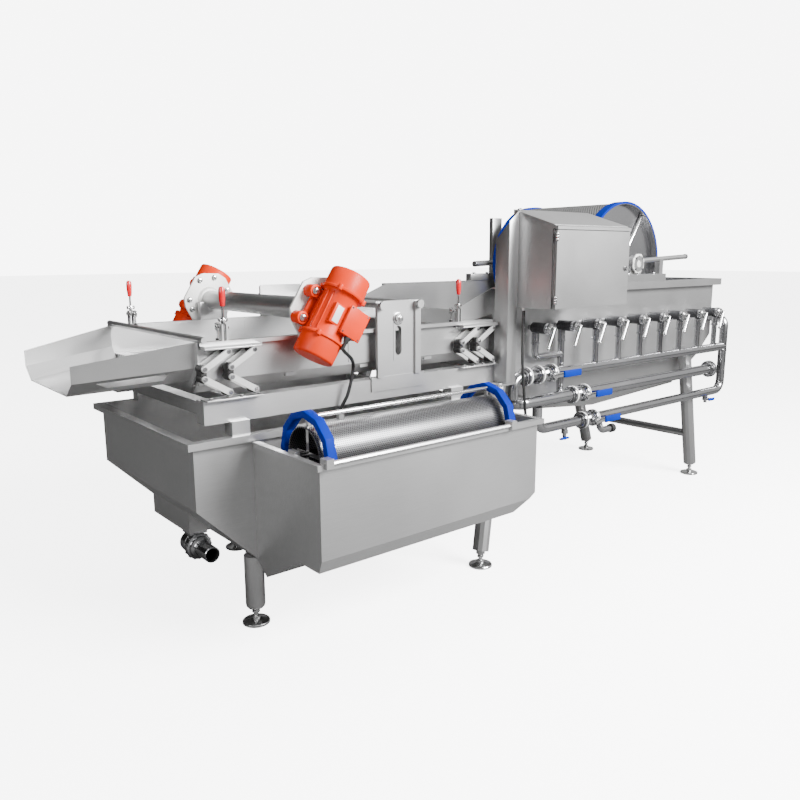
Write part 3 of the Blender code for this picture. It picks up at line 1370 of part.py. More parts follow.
# Motor beam and motors
def tilted(y, drop=0):
    """The place of the tilted motor frame at a distance across the machine."""
    turn = Matrix.Rotation(MOTOR_TILT, 4, "Y")
    return Matrix.Translation((BEAM_X, y, BEAM_Z - drop)) @ turn


def end_plate_outline():
    """The twelve corners of an end plate, anticlockwise."""
    half_w = END_PLATE_WIDTH / 2
    half_h = END_PLATE_HEIGHT / 2
    corner_shares = [(0.18, -1), (0.77, -0.7), (1, -0.44), (1, 0.44), (0.77, 0.7), (0.18, 1)]
    right = [(half_w * a, half_h * b) for a, b in corner_shares]
    left = [(-a, b) for a, b in reversed(right)]
    return right + left


def build_motor_beam():
    """Cross tube with chamfered end plates and saddles on the deck flanges."""
    inner = PLATE_INNER
    reach = inner + END_PLATE_THICKNESS / 2
    pieces = [rod((0, -reach, 0), (0, reach, 0), BEAM_RADIUS, ROUND_SIDES)]
    seat = DECK_TOP + FIT_GAP - BEAM_Z
    for sign in (-1, 1):
        low, high = sorted((sign * inner, sign * (inner + END_PLATE_THICKNESS)))
        plate = prism(end_plate_outline(), "y", low, high)
        pieces.append(moved(plate, Matrix.Rotation(MOTOR_TILT, 4, "Y")))
        saddle_inner = sign * (DECK_HALF_WIDTH - DECK_FLANGE * 0.2)
        low, high = sorted((saddle_inner, sign * (DECK_EDGE - FRAME_SHEET)))
        saddle_half = BEAM_RADIUS * 1.6
        pieces.append(block((-saddle_half, low, seat), (saddle_half, high, -BEAM_RADIUS * 0.2)))
    body = moved(fused(pieces), Matrix.Translation((BEAM_X, 0, BEAM_Z)))
    return finish(body, "motor_beam", "steel")


def build_motor(name, sign):
    """Vibrating motor: body, end caps, feet on the plate and a terminal box."""
    half = MOTOR_LENGTH / 2
    cap = MOTOR_CAP_LENGTH
    profile = [
        (0, -half), (MOTOR_CAP_RADIUS * 0.85, -half), (MOTOR_CAP_RADIUS, -half + cap * 0.2),
        (MOTOR_CAP_RADIUS, -half + cap), (MOTOR_RADIUS, -half + cap),
        (MOTOR_RADIUS, half - cap), (MOTOR_CAP_RADIUS, half - cap),
        (MOTOR_CAP_RADIUS, half - cap * 0.2), (MOTOR_CAP_RADIUS * 0.85, half), (0, half),
    ]
    body = turned(profile, (0, 0, 0), (0, 0, 1), LARGE_SIDES - 8)
    pieces = [body]
    toward = -sign
    foot_face = toward * MOTOR_STANDOFF
    foot_half = END_PLATE_WIDTH * 0.42
    for z in (-half + cap * 1.5, half - cap * 1.5):
        low, high = sorted((foot_face, foot_face - toward * cap * 0.25))
        pieces.append(block((-foot_half, low, z - cap * 0.3), (foot_half, high, z + cap * 0.3)))
        low, high = sorted((foot_face - toward * cap * 0.1, 0))
        lug_half = foot_half * 0.62
        pieces.append(block((-lug_half, low, z - cap * 0.2), (lug_half, high, z + cap * 0.2)))
    low, high = sorted((foot_face, foot_face - toward * cap * 0.2))
    web_half = foot_half * 0.5
    pieces.append(block((-web_half, low, -half + cap * 1.5), (web_half, high, half - cap * 1.5)))
    box_y = -toward * MOTOR_RADIUS
    low, high = sorted((box_y * 0.5, box_y * 1.28))
    pieces.append(block((cap * 0.1, low, -cap * 0.7), (cap * 1.2, high, cap * 0.7)))
    gland_y = (low + high) / 2 + (box_y * 0.2)
    gland_start = (cap * 0.65, gland_y, -cap * 0.4)
    pieces.append(rod(gland_start, (cap * 0.65, gland_y, -cap), CABLE_RADIUS * 1.7))
    body = fused(pieces)
    moved(body, tilted(sign * MOTOR_Y, MOTOR_SINK))
    return finish(body, name, "orange")


# Gate over the deck
def build_gate():
    """Slotted side plate, far plate and the rods and sheet that join them over the deck."""
    face = RAIL_OUTER + FIT_GAP
    plate = FRAME_SHEET * 1.5
    mid_x = (GATE_LEFT + GATE_RIGHT) / 2
    base_low = (RAIL_BOTTOM + RAIL_TOP) / 2 - FRAME_SHEET * 2
    base_high = RAIL_TOP + FRAME_SHEET * 2
    post = GATE_WIDTH * 0.13
    pieces = []
    for sign, top in ((-1, GATE_TOP), (1, GATE_FAR_TOP)):
        low, high = sorted((sign * face, sign * (face + plate)))
        pieces.append(block(
            (GATE_LEFT - GATE_BASE_OVERHANG, low, base_low),
            (GATE_RIGHT + GATE_BASE_OVERHANG, high, base_high),
        ))
        sheet_low, sheet_high = sorted((sign * (face + plate * 0.1), sign * (face + plate * 0.8)))
        pieces.append(block((GATE_LEFT, sheet_low, base_low + plate), (GATE_RIGHT, sheet_high, top)))
        outer = sign * (face + plate * 2.5)
        low, high = sorted((sign * (face + plate * 0.3), outer))
        for x in (GATE_LEFT, GATE_RIGHT - post):
            post_start = (x + plate * 0.1, low, base_high - plate * 0.5)
            pieces.append(block(post_start, (x + post, high, top - plate)))
    rod_reach = face + plate * 5
    cap_reach = rod_reach + plate
    rod_z = GATE_TOP - GATE_ROD_RADIUS * 1.4
    for x in (GATE_LEFT + GATE_ROD_RADIUS * 1.4, GATE_RIGHT - GATE_ROD_RADIUS * 1.4):
        pieces.append(rod((x, -rod_reach, rod_z), (x, rod_reach, rod_z), GATE_ROD_RADIUS))
        for sign in (-1, 1):
            cap_start = (x, sign * (rod_reach - plate), rod_z)
            pieces.append(rod(cap_start, (x, sign * cap_reach, rod_z), GATE_CAP_RADIUS))
    pieces.append(block(
        (GATE_LEFT + GATE_ROD_RADIUS, -face - plate * 0.5, rod_z - plate * 0.35),
        (GATE_RIGHT - GATE_ROD_RADIUS, face + plate * 0.5, rod_z + plate * 0.35),
    ))
    clamp_z = DECK_TOP + DECK_LIP
    slot_half = GATE_WIDTH * 0.11
    slots = []
    for sign in (-1, 1):
        low, high = sorted((sign * (face - plate), sign * (face + plate * 4)))
        slots.append(block((mid_x - slot_half, low, DECK_FOLD), (mid_x + slot_half, high, clamp_z)))
    body = fused(pieces, slots)
    bolts = []
    for sign in (-1, 1):
        start = (mid_x, sign * (face + plate * 0.3), clamp_z + slot_half)
        bolts.append(rod(start, (mid_x, sign * (face + plate * 3.2), clamp_z + slot_half), slot_half * 0.85))
    return finish(fused([body] + bolts), "gate_bridge", "steel")


# Immersion drum
def build_immersion_drum():
    """Slotted drum across the tank with hoops, recessed discs, a shaft and a spoke."""
    x = DRUM_X
    z = DRUM_Z
    half = DRUM_HALF_LENGTH
    inner = DRUM_RADIUS - DRUM_SHELL
    hoop = half - DRUM_HOOP_WIDTH
    profile = [
        (inner, -half), (DRUM_HOOP_RADIUS, -half), (DRUM_HOOP_RADIUS, -hoop), (DRUM_RADIUS, -hoop),
        (DRUM_RADIUS, hoop), (DRUM_HOOP_RADIUS, hoop), (DRUM_HOOP_RADIUS, half), (inner, half),
    ]
    pieces = [turned(profile, (x, 0, z), (0, 1, 0), LARGE_SIDES, ring=True)]
    grip = DRUM_RADIUS - DRUM_SHELL / 2
    for sign in (-1, 1):
        disc_y = sign * (half - DRUM_DISC_INSET)
        pieces.append(rod((x, disc_y, z), (x, disc_y - sign * DRUM_SHELL, z), grip, LARGE_SIDES))
        spoke_y = disc_y + sign * DRUM_SHAFT_RADIUS * 0.35
        lean = 0.4 * sign
        end = (x - sign * grip * math.sin(lean), spoke_y, z + grip * math.cos(lean))
        pieces.append(rod((x, spoke_y, z), end, DRUM_SHAFT_RADIUS * 0.5))
    reach = TANK_HALF_WIDTH + TANK_RIM_OUT
    pieces.append(rod((x, -reach, z), (x, reach, z), DRUM_SHAFT_RADIUS, ROUND_SIDES))
    cuts = []
    count = 10
    slot_half = half - DRUM_HOOP_WIDTH * 1.4
    slot_width = DRUM_SHAFT_RADIUS * 0.6
    for k in range(count):
        angle = math.tau * (k + 0.5) / count
        cut = block((DRUM_RADIUS * 0.9, -slot_half, -slot_width), (DRUM_RADIUS * 1.1, slot_half, slot_width))
        place = Matrix.Translation((x, 0, z)) @ Matrix.Rotation(angle, 4, "Y")
        cuts.append(moved(cut, place))
    return finish(fused(pieces, cuts), "immersion_drum", "steel", (x, 0, z))


def build_drum_bracket(name, sign):
    """Beam on the tank rim with the drum's bearing and the lever bar."""
    turn = -sign
    x = DRUM_X
    seat = TANK_RIM + FIT_GAP
    beam_top = TANK_RIM + BRACKET_BEAM_HEIGHT
    near = TANK_HALF_WIDTH - BRACKET_BEAM_HEIGHT * 0.3
    far = TANK_HALF_WIDTH + TANK_RIM_OUT * 0.9
    low_y, high_y = sorted((sign * near, sign * far))
    hub = DRUM_SHAFT_RADIUS * 2.2
    start_x = x - turn * hub * 2
    end_x = start_x + turn * BRACKET_BEAM_LENGTH
    low_x, high_x = sorted((start_x, end_x))
    pieces = [block((low_x, low_y, seat), (high_x, high_y, beam_top))]
    mid_y = sign * (near + far) / 2
    wall = BRACKET_BEAM_HEIGHT * 0.25
    pieces.append(prism(
        [
            (x - hub * 1.3, beam_top - wall), (x + hub * 1.3, beam_top - wall),
            (x + hub * 0.8, DRUM_Z), (x - hub * 0.8, DRUM_Z),
        ],
        "y", mid_y - wall, mid_y + wall,
    ))
    hub_low, hub_high = sorted((sign * (near + wall / 2), sign * (far + wall)))
    pieces.append(rod((x, hub_low, DRUM_Z), (x, hub_high, DRUM_Z), hub, ROUND_SIDES))
    bar_y = mid_y
    bar_rise = LEVER_BAR_RADIUS
    bar_start = (x + turn * hub * 0.75, bar_y, DRUM_Z + bar_rise)
    bar_end = (x + turn * LEVER_BAR_LENGTH, bar_y, DRUM_Z + bar_rise * 2.6)
    pieces.append(rod(bar_start, bar_end, LEVER_BAR_RADIUS))
    post_x = end_x - turn * hub
    post_low, post_high = sorted((post_x - hub * 0.4, post_x + hub * 0.4))
    pieces.append(block(
        (post_low, mid_y - wall * 1.6, beam_top - wall),
        (post_high, mid_y + wall * 1.6, DRUM_Z + bar_rise * 1.5),
    ))
    if sign > 0:
        drive_x = end_x + hub
        pieces.append(block(
            (drive_x - hub * 1.1, mid_y - wall, seat),
            (drive_x + hub * 1.1, mid_y + wall * 2, TANK_RIM + DRUM_RADIUS * 1.1),
        ))
    far_y = TANK_HALF_WIDTH * 2
    bore = rod((x, -far_y, DRUM_Z), (x, far_y, DRUM_Z), DRUM_SHAFT_RADIUS + FIT_GAP * 2, ROUND_SIDES)
    return finish(fused(pieces, [bore]), name, "polished")


# Water jets, pipes and valves
def jet_x(index):
    """Position of a water jet along the tank."""
    return JET_FIRST_X + JET_PITCH * index


def jet_barrel(index):
    """The round barrel of a jet on the tank wall."""
    x = jet_x(index)
    wall = -(TANK_HALF_WIDTH + FIT_GAP)
    barrel = rod((x, wall, JET_Z), (x, -JET_END, JET_Z), JET_BARREL_RADIUS, ROUND_SIDES)
    return [barrel]


def build_jet_lever(index):
    """Turning ring at the jet's end with a stem and a bent lever."""
    x = jet_x(index)
    start = -JET_END - FIT_GAP
    ring_end = start - JET_RING_WIDTH
    stem_end = ring_end - JET_STEM
    ring = rod((x, start, JET_Z), (x, ring_end, JET_Z), JET_RING_RADIUS, ROUND_SIDES)
    stem = rod((x, ring_end + JET_RING_WIDTH / 2, JET_Z), (x, stem_end, JET_Z), JET_LEVER_RADIUS * 1.3, 6)
    tip = (x - JET_LEVER_SHIFT, stem_end + JET_LEVER_RADIUS, JET_Z - JET_LEVER_DROP)
    lever = rod((x, stem_end + JET_LEVER_RADIUS, JET_Z), tip, JET_LEVER_RADIUS, 6)
    knob = rod(
        (tip[0], tip[1], tip[2] + JET_LEVER_RADIUS),
        (tip[0], tip[1], tip[2] - JET_LEVER_RADIUS * 2), JET_LEVER_RADIUS * 1.5, 6,
    )
    name = "jet_lever_" + str(index + 1)
    return finish(fused([ring, stem, lever, knob]), name, "polished", (x, ring_end, JET_Z))


def union_joint(x, z, radius=UNION_RADIUS):
    """A pair of union rings round a pipe that runs along the machine."""
    start = x - UNION_WIDTH / 2
    return rod((start, PIPE_Y, z), (start + UNION_WIDTH, PIPE_Y, z), radius, ROUND_SIDES)


def valve_body(x, z):
    """A ball valve: body, two unions and the stem toward the operator."""
    half = UNION_RADIUS * 1.1
    body = rod((x - half, PIPE_Y, z), (x + half, PIPE_Y, z), UNION_RADIUS * 0.85, ROUND_SIDES)
    stem = rod((x, PIPE_Y, z), (x, LEVER_Y + FIT_GAP + UNION_WIDTH * 0.3, z), UNION_RADIUS * 0.3)
    return [body, union_joint(x - half, z), union_joint(x + half, z), stem]


def build_valve_lever(name, x, z):
    """Flat lever with a sleeve along the pipe, on the valve's stem."""
    back = LEVER_Y + UNION_WIDTH * 0.3
    front = back - UNION_WIDTH * 0.35
    half = UNION_RADIUS * 0.3
    hub = rod((x, back, z), (x, front - UNION_WIDTH * 0.2, z), half * 1.3, SMALL_SIDES)
    arm = block((x, front, z - half * 0.7), (x + VALVE_LEVER_LENGTH * 0.5, back, z + half * 0.7))
    sleeve_y = (front + back) / 2
    thick = UNION_WIDTH * 0.35
    sleeve = block(
        (x + VALVE_LEVER_LENGTH * 0.3, sleeve_y - thick, z - half),
        (x + VALVE_LEVER_LENGTH, sleeve_y + thick, z + half),
    )
    return finish(fused([hub, arm, sleeve]), name, "blue", (x, back, z))


def upper_valve_x():
    """Position of the manifold's valve."""
    return jet_x(0)


def middle_valve_x():
    """Position of the main pipe's valve."""
    return jet_x(1) + UNION_RADIUS * 1.5


def lower_valve_x():
    """Position of the lower pipe's valve."""
    return jet_x(2) - UNION_RADIUS


def lower_branch_x():
    """Where the lower pipe branches from the middle pipe."""
    return jet_x(0) - UNION_RADIUS


def build_manifold():
    """Upper manifold with its valve, the risers and the jets they feed."""
    left = CABINET_LEFT + PIPE_RADIUS + FIT_GAP * 20
    middle_top = MIDDLE_Z + MAIN_PIPE_RADIUS + FIT_GAP
    entry_z = JET_Z - JET_BARREL_RADIUS * 1.3
    entry_y = -(TANK_HALF_WIDTH + FIT_GAP)
    run = [
        (left, PIPE_Y, middle_top), (left, PIPE_Y, MANIFOLD_Z), (MANIFOLD_RIGHT, PIPE_Y, MANIFOLD_Z),
        (MANIFOLD_RIGHT, PIPE_Y, entry_z), (MANIFOLD_RIGHT, entry_y, entry_z),
    ]
    end_bend = PIPE_RADIUS * 2
    pieces = [pipe(run[:3], PIPE_RADIUS, BEND_RADIUS * 0.8)]
    pieces.append(pipe(run[2:], PIPE_RADIUS, end_bend))
    for index in range(JET_LINKED, JET_COUNT):
        x = jet_x(index)
        riser = rod((x, PIPE_Y, MANIFOLD_Z), (x, PIPE_Y, JET_Z - JET_BARREL_RADIUS * 0.5), RISER_RADIUS)
        pieces.append(riser)
        pieces += jet_barrel(index)
    pieces += valve_body(upper_valve_x(), MANIFOLD_Z)
    return finish(fused(pieces), "manifold", "polished")


def build_middle_pipe():
    """Main return pipe from the collector, with the valve and the linked jets."""
    left_x = COLUMN_RIGHT + MAIN_PIPE_RADIUS * 2.4
    right_x = MANIFOLD_RIGHT - UNION_RADIUS * 3.3
    inner_y = -COLLECTOR_HALF_WIDTH * 0.6
    run = [
        (COLLECTOR_RIGHT + FIT_GAP, inner_y, MIDDLE_Z), (left_x, inner_y, MIDDLE_Z),
        (left_x, PIPE_Y, MIDDLE_Z), (right_x, PIPE_Y, MIDDLE_Z),
    ]
    pieces = [pipe(run, MAIN_PIPE_RADIUS, MAIN_PIPE_RADIUS * 1.6)]
    pieces.append(union_joint(right_x, MIDDLE_Z, UNION_RADIUS * 1.15))
    pieces += valve_body(middle_valve_x(), MIDDLE_Z)
    first = jet_x(0)
    second = jet_x(1)
    link_y = PIPE_Y + MAIN_PIPE_RADIUS + RISER_RADIUS * 2.6
    link_z = MANIFOLD_Z + PIPE_RADIUS * 3
    top = JET_Z - JET_BARREL_RADIUS * 0.5
    link_run = [(first, link_y, top), (first, link_y, link_z), (second, link_y, link_z)]
    pieces.append(pipe(link_run, RISER_RADIUS, RISER_RADIUS * 2))
    drop_run = [(second, link_y, top), (second, link_y, MIDDLE_Z), (second, PIPE_Y, MIDDLE_Z)]
    pieces.append(pipe(drop_run, RISER_RADIUS, RISER_RADIUS * 2))
    for index in range(JET_LINKED):
        pieces += jet_barrel(index)
    return finish(fused(pieces), "middle_pipe", "polished")


def build_lower_pipe():
    """Lower pipe from the middle pipe round to the manifold's far end."""
    left_x = lower_branch_x()
    start_z = MIDDLE_Z - MAIN_PIPE_RADIUS - FIT_GAP
    end_z = MANIFOLD_Z - PIPE_RADIUS - FIT_GAP
    run = [
        (left_x, PIPE_Y, start_z), (left_x, PIPE_Y, LOWER_Z),
        (MANIFOLD_RIGHT, PIPE_Y, LOWER_Z), (MANIFOLD_RIGHT, PIPE_Y, end_z),
    ]
    pieces = [pipe(run, PIPE_RADIUS, BEND_RADIUS)]
    x = lower_valve_x()
    pieces += valve_body(x, LOWER_Z)
    spout_y = PIPE_Y - PIPE_RADIUS
    spout_z = LOWER_Z - UNION_RADIUS * 1.6
    spout_x = x + UNION_RADIUS * 2
    spout_end = (spout_x + UNION_RADIUS * 2.4, spout_y, spout_z)
    run = [(spout_x, PIPE_Y, LOWER_Z), (spout_x, spout_y, spout_z), spout_end]
    pieces.append(pipe(run, PIPE_RADIUS * 0.7, PIPE_RADIUS * 0.9))
    for tap_x in (tap_one_x(), tap_two_x()):
        low = LOWER_Z - PIPE_RADIUS * 2.6
        pieces.append(rod((tap_x, PIPE_Y, LOWER_Z), (tap_x, PIPE_Y, low), RISER_RADIUS * 0.8))
        collar_low = LOWER_Z - PIPE_RADIUS * 2
        pieces.append(rod((tap_x, PIPE_Y, LOWER_Z), (tap_x, PIPE_Y, collar_low), RISER_RADIUS * 1.3))
    tap_x = tap_two_x()
    stem_z = LOWER_Z - PIPE_RADIUS * 1.6
    stem_end = (tap_x, PIPE_Y - RISER_RADIUS * 2.2, stem_z)
    pieces.append(rod((tap_x, PIPE_Y, stem_z), stem_end, RISER_RADIUS * 0.5))
    return finish(fused(pieces), "lower_pipe", "polished")


def tap_one_x():
    """Position of the drain tap near the column."""
    return jet_x(1) - UNION_RADIUS * 0.6


def tap_two_x():
    """Position of the drain tap near the closed end."""
    return jet_x(JET_COUNT - 1) - UNION_RADIUS


def build_tap_handles():
    """Handles of the two drain taps: one below its neck, one in front of its stem."""
    reach = UNION_RADIUS * 0.75
    thick = RISER_RADIUS * 0.6
    x = tap_one_x()
    top = LOWER_Z - PIPE_RADIUS * 2.6 - FIT_GAP
    hub = rod((x, PIPE_Y, top), (x, PIPE_Y, top - thick * 2.4), RISER_RADIUS * 0.7)
    bar = block(
        (x - reach, PIPE_Y - thick * 1.2, top - thick * 2.2),
        (x + reach, PIPE_Y + thick * 1.2, top - thick * 0.8),
    )
    finish(fused([hub, bar]), "tap_handle_left", "blue", (x, PIPE_Y, top))
    x = tap_two_x()
    z = LOWER_Z - PIPE_RADIUS * 1.6
    back = PIPE_Y - RISER_RADIUS * 2.2 - FIT_GAP
    hub = rod((x, back, z), (x, back - thick * 2.4, z), RISER_RADIUS * 0.7)
    bar = block(
        (x - reach, back - thick * 2.2, z - thick * 1.2),
        (x + reach, back - thick * 0.8, z + thick * 1.2),
    )
    finish(fused([hub, bar]), "tap_handle_right", "blue", (x, back, z))


# Cables
def smooth_points(anchors, count):
    """Evenly spaced points of a smooth curve through the anchors, with straight first and last runs."""
    anchors = [Vector(a) for a in anchors]
    times = [0]
    for before, here in zip(anchors, anchors[1:]):
        times.append(times[-1] + (here - before).length)
    last = len(anchors) - 1
    slopes = []
    for i in range(last + 1):
        low = max(i - 1, 0)
        high = min(i + 1, last)
        slopes.append((anchors[high] - anchors[low]) / (times[high] - times[low]))
    points = [anchors[0]]
    i = 1
    for k in range(count + 1):
        place = times[1] + (times[-2] - times[1]) * k / count
        while i < last - 1 and place > times[i + 1]:
            i += 1
        span = times[i + 1] - times[i]
        t = (place - times[i]) / span
        start_share = 2 * t ** 3 - 3 * t ** 2 + 1
        start_pull = (t ** 3 - 2 * t ** 2 + t) * span
        end_pull = (t ** 3 - t ** 2) * span
        point = anchors[i] * start_share + anchors[i + 1] * (1 - start_share)
        points.append(point + slopes[i] * start_pull + slopes[i + 1] * end_pull)
    points.append(anchors[-1])
    return points


def build_cables():
    """Motor cable down to the collector clip and cabinet cable to the filter drive."""
    cap = MOTOR_CAP_LENGTH
    gland_y = MOTOR_RADIUS * 0.89 + MOTOR_RADIUS * 0.2
    start = tilted(-MOTOR_Y, MOTOR_SINK) @ Vector((cap * 0.65, -gland_y, -cap - FIT_GAP))
    direction = (tilted(0).to_3x3() @ Vector((0, 0, -1))).normalized()
    clip_x, clip_y, clip_z = clip_place()
    end = Vector((clip_x, clip_y, clip_z + FIT_GAP))
    front_y = -RAIL_OUTER - CABLE_RADIUS * 5
    middle_z = (start.z + end.z) / 2
    anchors = [
        start, start + direction * CABLE_RADIUS * 3,
        Vector((clip_x + CABLE_RADIUS * 8, front_y, middle_z + CABLE_RADIUS * 6)),
        Vector((clip_x + CABLE_RADIUS * 4, front_y, middle_z - CABLE_RADIUS * 10)),
        end + Vector((0, 0, CABLE_RADIUS * 2)), end,
    ]
    cable = curve_object(smooth_points(anchors, 20), CABLE_RADIUS, 2)
    finish_cable(cable, "cable_motor")
    gland_x = CABINET_LEFT + COLUMN_WIDTH * 0.45
    gland_y = -CABINET_BACK - COLUMN_DEPTH * 0.6
    top = Vector((gland_x, gland_y, CABINET_BOTTOM - CABLE_RADIUS * 2 - FIT_GAP))
    drive_y = -FILTER_BACK - FILTER_DEPTH * 0.3
    drive_z = FILTER_TOP - FILTER_DEPTH * 0.5
    finish_point = Vector((FILTER_RIGHT + FILTER_RIM_OUT * 1.6 + FIT_GAP, drive_y, drive_z))
    span = COLUMN_WIDTH
    anchors = [
        top, top + Vector((0, 0, -CABLE_RADIUS * 3)),
        Vector((gland_x - span * 0.2, gland_y - span * 0.2, RAIL_TOP)),
        Vector((gland_x, gland_y - span * 0.4, MIDDLE_Z)),
        Vector((gland_x + span * 0.3, drive_y, drive_z - span * 0.5)),
        Vector((gland_x - span, drive_y - span * 0.5, drive_z - span * 2.2)),
        Vector((FILTER_RIGHT + span * 1.6, drive_y, drive_z - span)),
        finish_point + Vector((CABLE_RADIUS * 4, 0, 0)), finish_point,
    ]
    cable = curve_object(smooth_points(anchors, 40), CABLE_RADIUS, 2)
    finish_cable(cable, "cable_cabinet")


def finish_cable(cable, name):
    """Name a cable and give it its material; it stays a curve."""
    cable.name = name
    material = bpy.data.materials.new(name + "_rubber")
    material.use_nodes = True
    shader = material.node_tree.nodes["Principled BSDF"]
    shader.inputs["Base Color"].default_value = (0.02, 0.02, 0.02, 1)
    shader.inputs["Roughness"].default_value = 0.6
    cable.data.materials.append(material)


def centre_machine():
    """Parent everything to one empty whose place centres the machine over its origin."""
    bpy.context.view_layer.update()
    graph = bpy.context.evaluated_depsgraph_get()
    xs = []
    ys = []
    items = [item for item in bpy.context.scene.objects]
    for item in items:
        shape = item.evaluated_get(graph)
        mesh = shape.to_mesh()
        for vertex in mesh.vertices:
            point = item.matrix_world @ vertex.co
            xs.append(point.x)
            ys.append(point.y)
        shape.to_mesh_clear()
    machine = bpy.data.objects.new("machine", None)
    bpy.context.scene.collection.objects.link(machine)
    machine.location = (-(min(xs) + max(xs)) / 2, -(min(ys) + max(ys)) / 2, 0)
    for item in items:
        item.parent = machine
    bpy.context.view_layer.update()
    print("machine offset", tuple(machine.location))


def build_machine():
    """Build every piece of the machine."""
    build_wash_tank()
    build_collector_tank()
    build_filter_tank()
    build_screen_frame()
    build_column()
    build_cabinet()
    build_cabinet_door()
    build_upright_leg("leg_near_left", LEFT_LEG_X, LEFT_LEG_Y)
    build_upright_leg("leg_far_left", REAR_LEG_X, REAR_LEG_Y)
    build_middle_leg("leg_near_middle", -1)
    build_middle_leg("leg_far_middle", 1)
    build_end_stand()
    feet = {
        "foot_near_left": (LEFT_LEG_X, LEFT_LEG_Y),
        "foot_far_left": (REAR_LEG_X, REAR_LEG_Y),
        "foot_near_middle": (MIDDLE_LEG_FOOT_X, -MIDDLE_LEG_FOOT_Y),
        "foot_far_middle": (MIDDLE_LEG_FOOT_X, MIDDLE_LEG_FOOT_Y),
        "foot_near_right": (END_LEG_FOOT_X, -END_LEG_FOOT_Y),
        "foot_far_right": (END_LEG_FOOT_X, END_LEG_FOOT_Y),
    }
    for name, (x, y) in feet.items():
        build_foot(name, x, y)
    build_deck()
    build_chute()
    build_screen_panel()
    build_motor_beam()
    build_motor("motor_near", -1)
    build_motor("motor_far", 1)
    left_mount = DECK_LEFT + MOUNT_INSET
    right_mount = DECK_RIGHT - MOUNT_INSET - MOUNT_WIDTH
    build_mount("mount_near_left", left_mount, -1)
    build_mount("mount_near_right", right_mount, -1)
    build_mount("mount_far_left", left_mount, 1)
    build_mount("mount_far_right", right_mount, 1)
    left_clamp, right_clamp = clamp_places()
    build_clamp("clamp_near_left", left_clamp, -1)
    build_clamp("clamp_near_right", right_clamp, -1)
    build_clamp("clamp_far_left", left_clamp, 1)
    build_clamp("clamp_far_right", right_clamp, 1)
    build_gate()
    build_immersion_drum()
    build_drum_bracket("drum_bracket_near", -1)
    build_drum_bracket("drum_bracket_far", 1)
    build_filter_drum()
    build_filter_hoops()
    build_filter_bar()
    build_drain_valve()
    build_manifold()
    build_middle_pipe()
    build_lower_pipe()
    for index in range(JET_COUNT):
        build_jet_lever(index)
    build_valve_lever("valve_lever_upper", upper_valve_x(), MANIFOLD_Z)
    build_valve_lever("valve_lever_middle", middle_valve_x(), MIDDLE_Z)
    build_valve_lever("valve_lever_lower", lower_valve_x(), LOWER_Z)
    build_tap_handles()
    build_cables()
    centre_machine()


clear_scene()
build_machine()
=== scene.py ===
# %% [markdown]
# # Dressing a vegetable washing machine
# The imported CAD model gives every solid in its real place. This lesson keeps the sheet metal
# as it is, gives it a brushed finish, and builds the fittings that a buyer looks at closely:
# vibrating motors, spring mounts, toggle clamps, ball valves, pipes, jets and drums.

# %% Load the machine
import math

import bmesh
import bpy
from mathutils import Matrix, Vector


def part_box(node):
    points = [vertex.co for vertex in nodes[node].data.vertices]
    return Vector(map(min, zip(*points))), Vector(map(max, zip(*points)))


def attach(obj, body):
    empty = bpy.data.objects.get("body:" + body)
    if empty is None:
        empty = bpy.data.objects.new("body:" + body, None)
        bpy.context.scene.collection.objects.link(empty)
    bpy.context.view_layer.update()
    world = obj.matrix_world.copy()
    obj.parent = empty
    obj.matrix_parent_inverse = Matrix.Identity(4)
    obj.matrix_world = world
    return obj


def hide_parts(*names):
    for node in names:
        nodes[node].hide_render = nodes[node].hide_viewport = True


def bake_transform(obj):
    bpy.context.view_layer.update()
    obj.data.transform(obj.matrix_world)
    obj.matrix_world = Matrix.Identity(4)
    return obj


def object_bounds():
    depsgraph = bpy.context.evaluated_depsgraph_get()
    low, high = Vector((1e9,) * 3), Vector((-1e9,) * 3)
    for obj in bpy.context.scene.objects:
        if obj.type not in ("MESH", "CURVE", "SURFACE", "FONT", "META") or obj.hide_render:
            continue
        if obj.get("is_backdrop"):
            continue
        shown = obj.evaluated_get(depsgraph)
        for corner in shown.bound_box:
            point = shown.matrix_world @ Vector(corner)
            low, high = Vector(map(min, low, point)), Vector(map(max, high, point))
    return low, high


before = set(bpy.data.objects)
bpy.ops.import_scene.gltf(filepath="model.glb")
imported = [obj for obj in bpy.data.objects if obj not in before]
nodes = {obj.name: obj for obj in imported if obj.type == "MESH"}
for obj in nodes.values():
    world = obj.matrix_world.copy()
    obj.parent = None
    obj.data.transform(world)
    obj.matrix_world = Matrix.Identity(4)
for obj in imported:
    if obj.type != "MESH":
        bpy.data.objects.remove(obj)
cad_low, cad_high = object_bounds()
print("machine measures", [round(v, 3) for v in cad_high - cad_low], "metres")

# %% [markdown]
# The drawing of this machine starts at the tip of its outfeed chute, on its long middle line.
# Keeping that corner as the origin lets each place below be read straight off the drawing. The
# near side faces the operator, towards -Y. Parts that meet stand a small gap apart.

# %% The drawing's origin
deck_low, deck_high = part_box("deck")
ORIGIN = Vector((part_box("chute")[0].x, (deck_low.y + deck_high.y) / 2, 0))
SIDES = ((-1, "near"), (1, "far"))
GAP = 0.0003
print("origin of the drawing", [round(v, 4) for v in ORIGIN])

# %% [markdown]
# ## Camera
# The photograph was taken from the operator's side, a little beyond the chute, at eye height.
# The place, the turn and the lens were solved from the lines that run along, across and up.

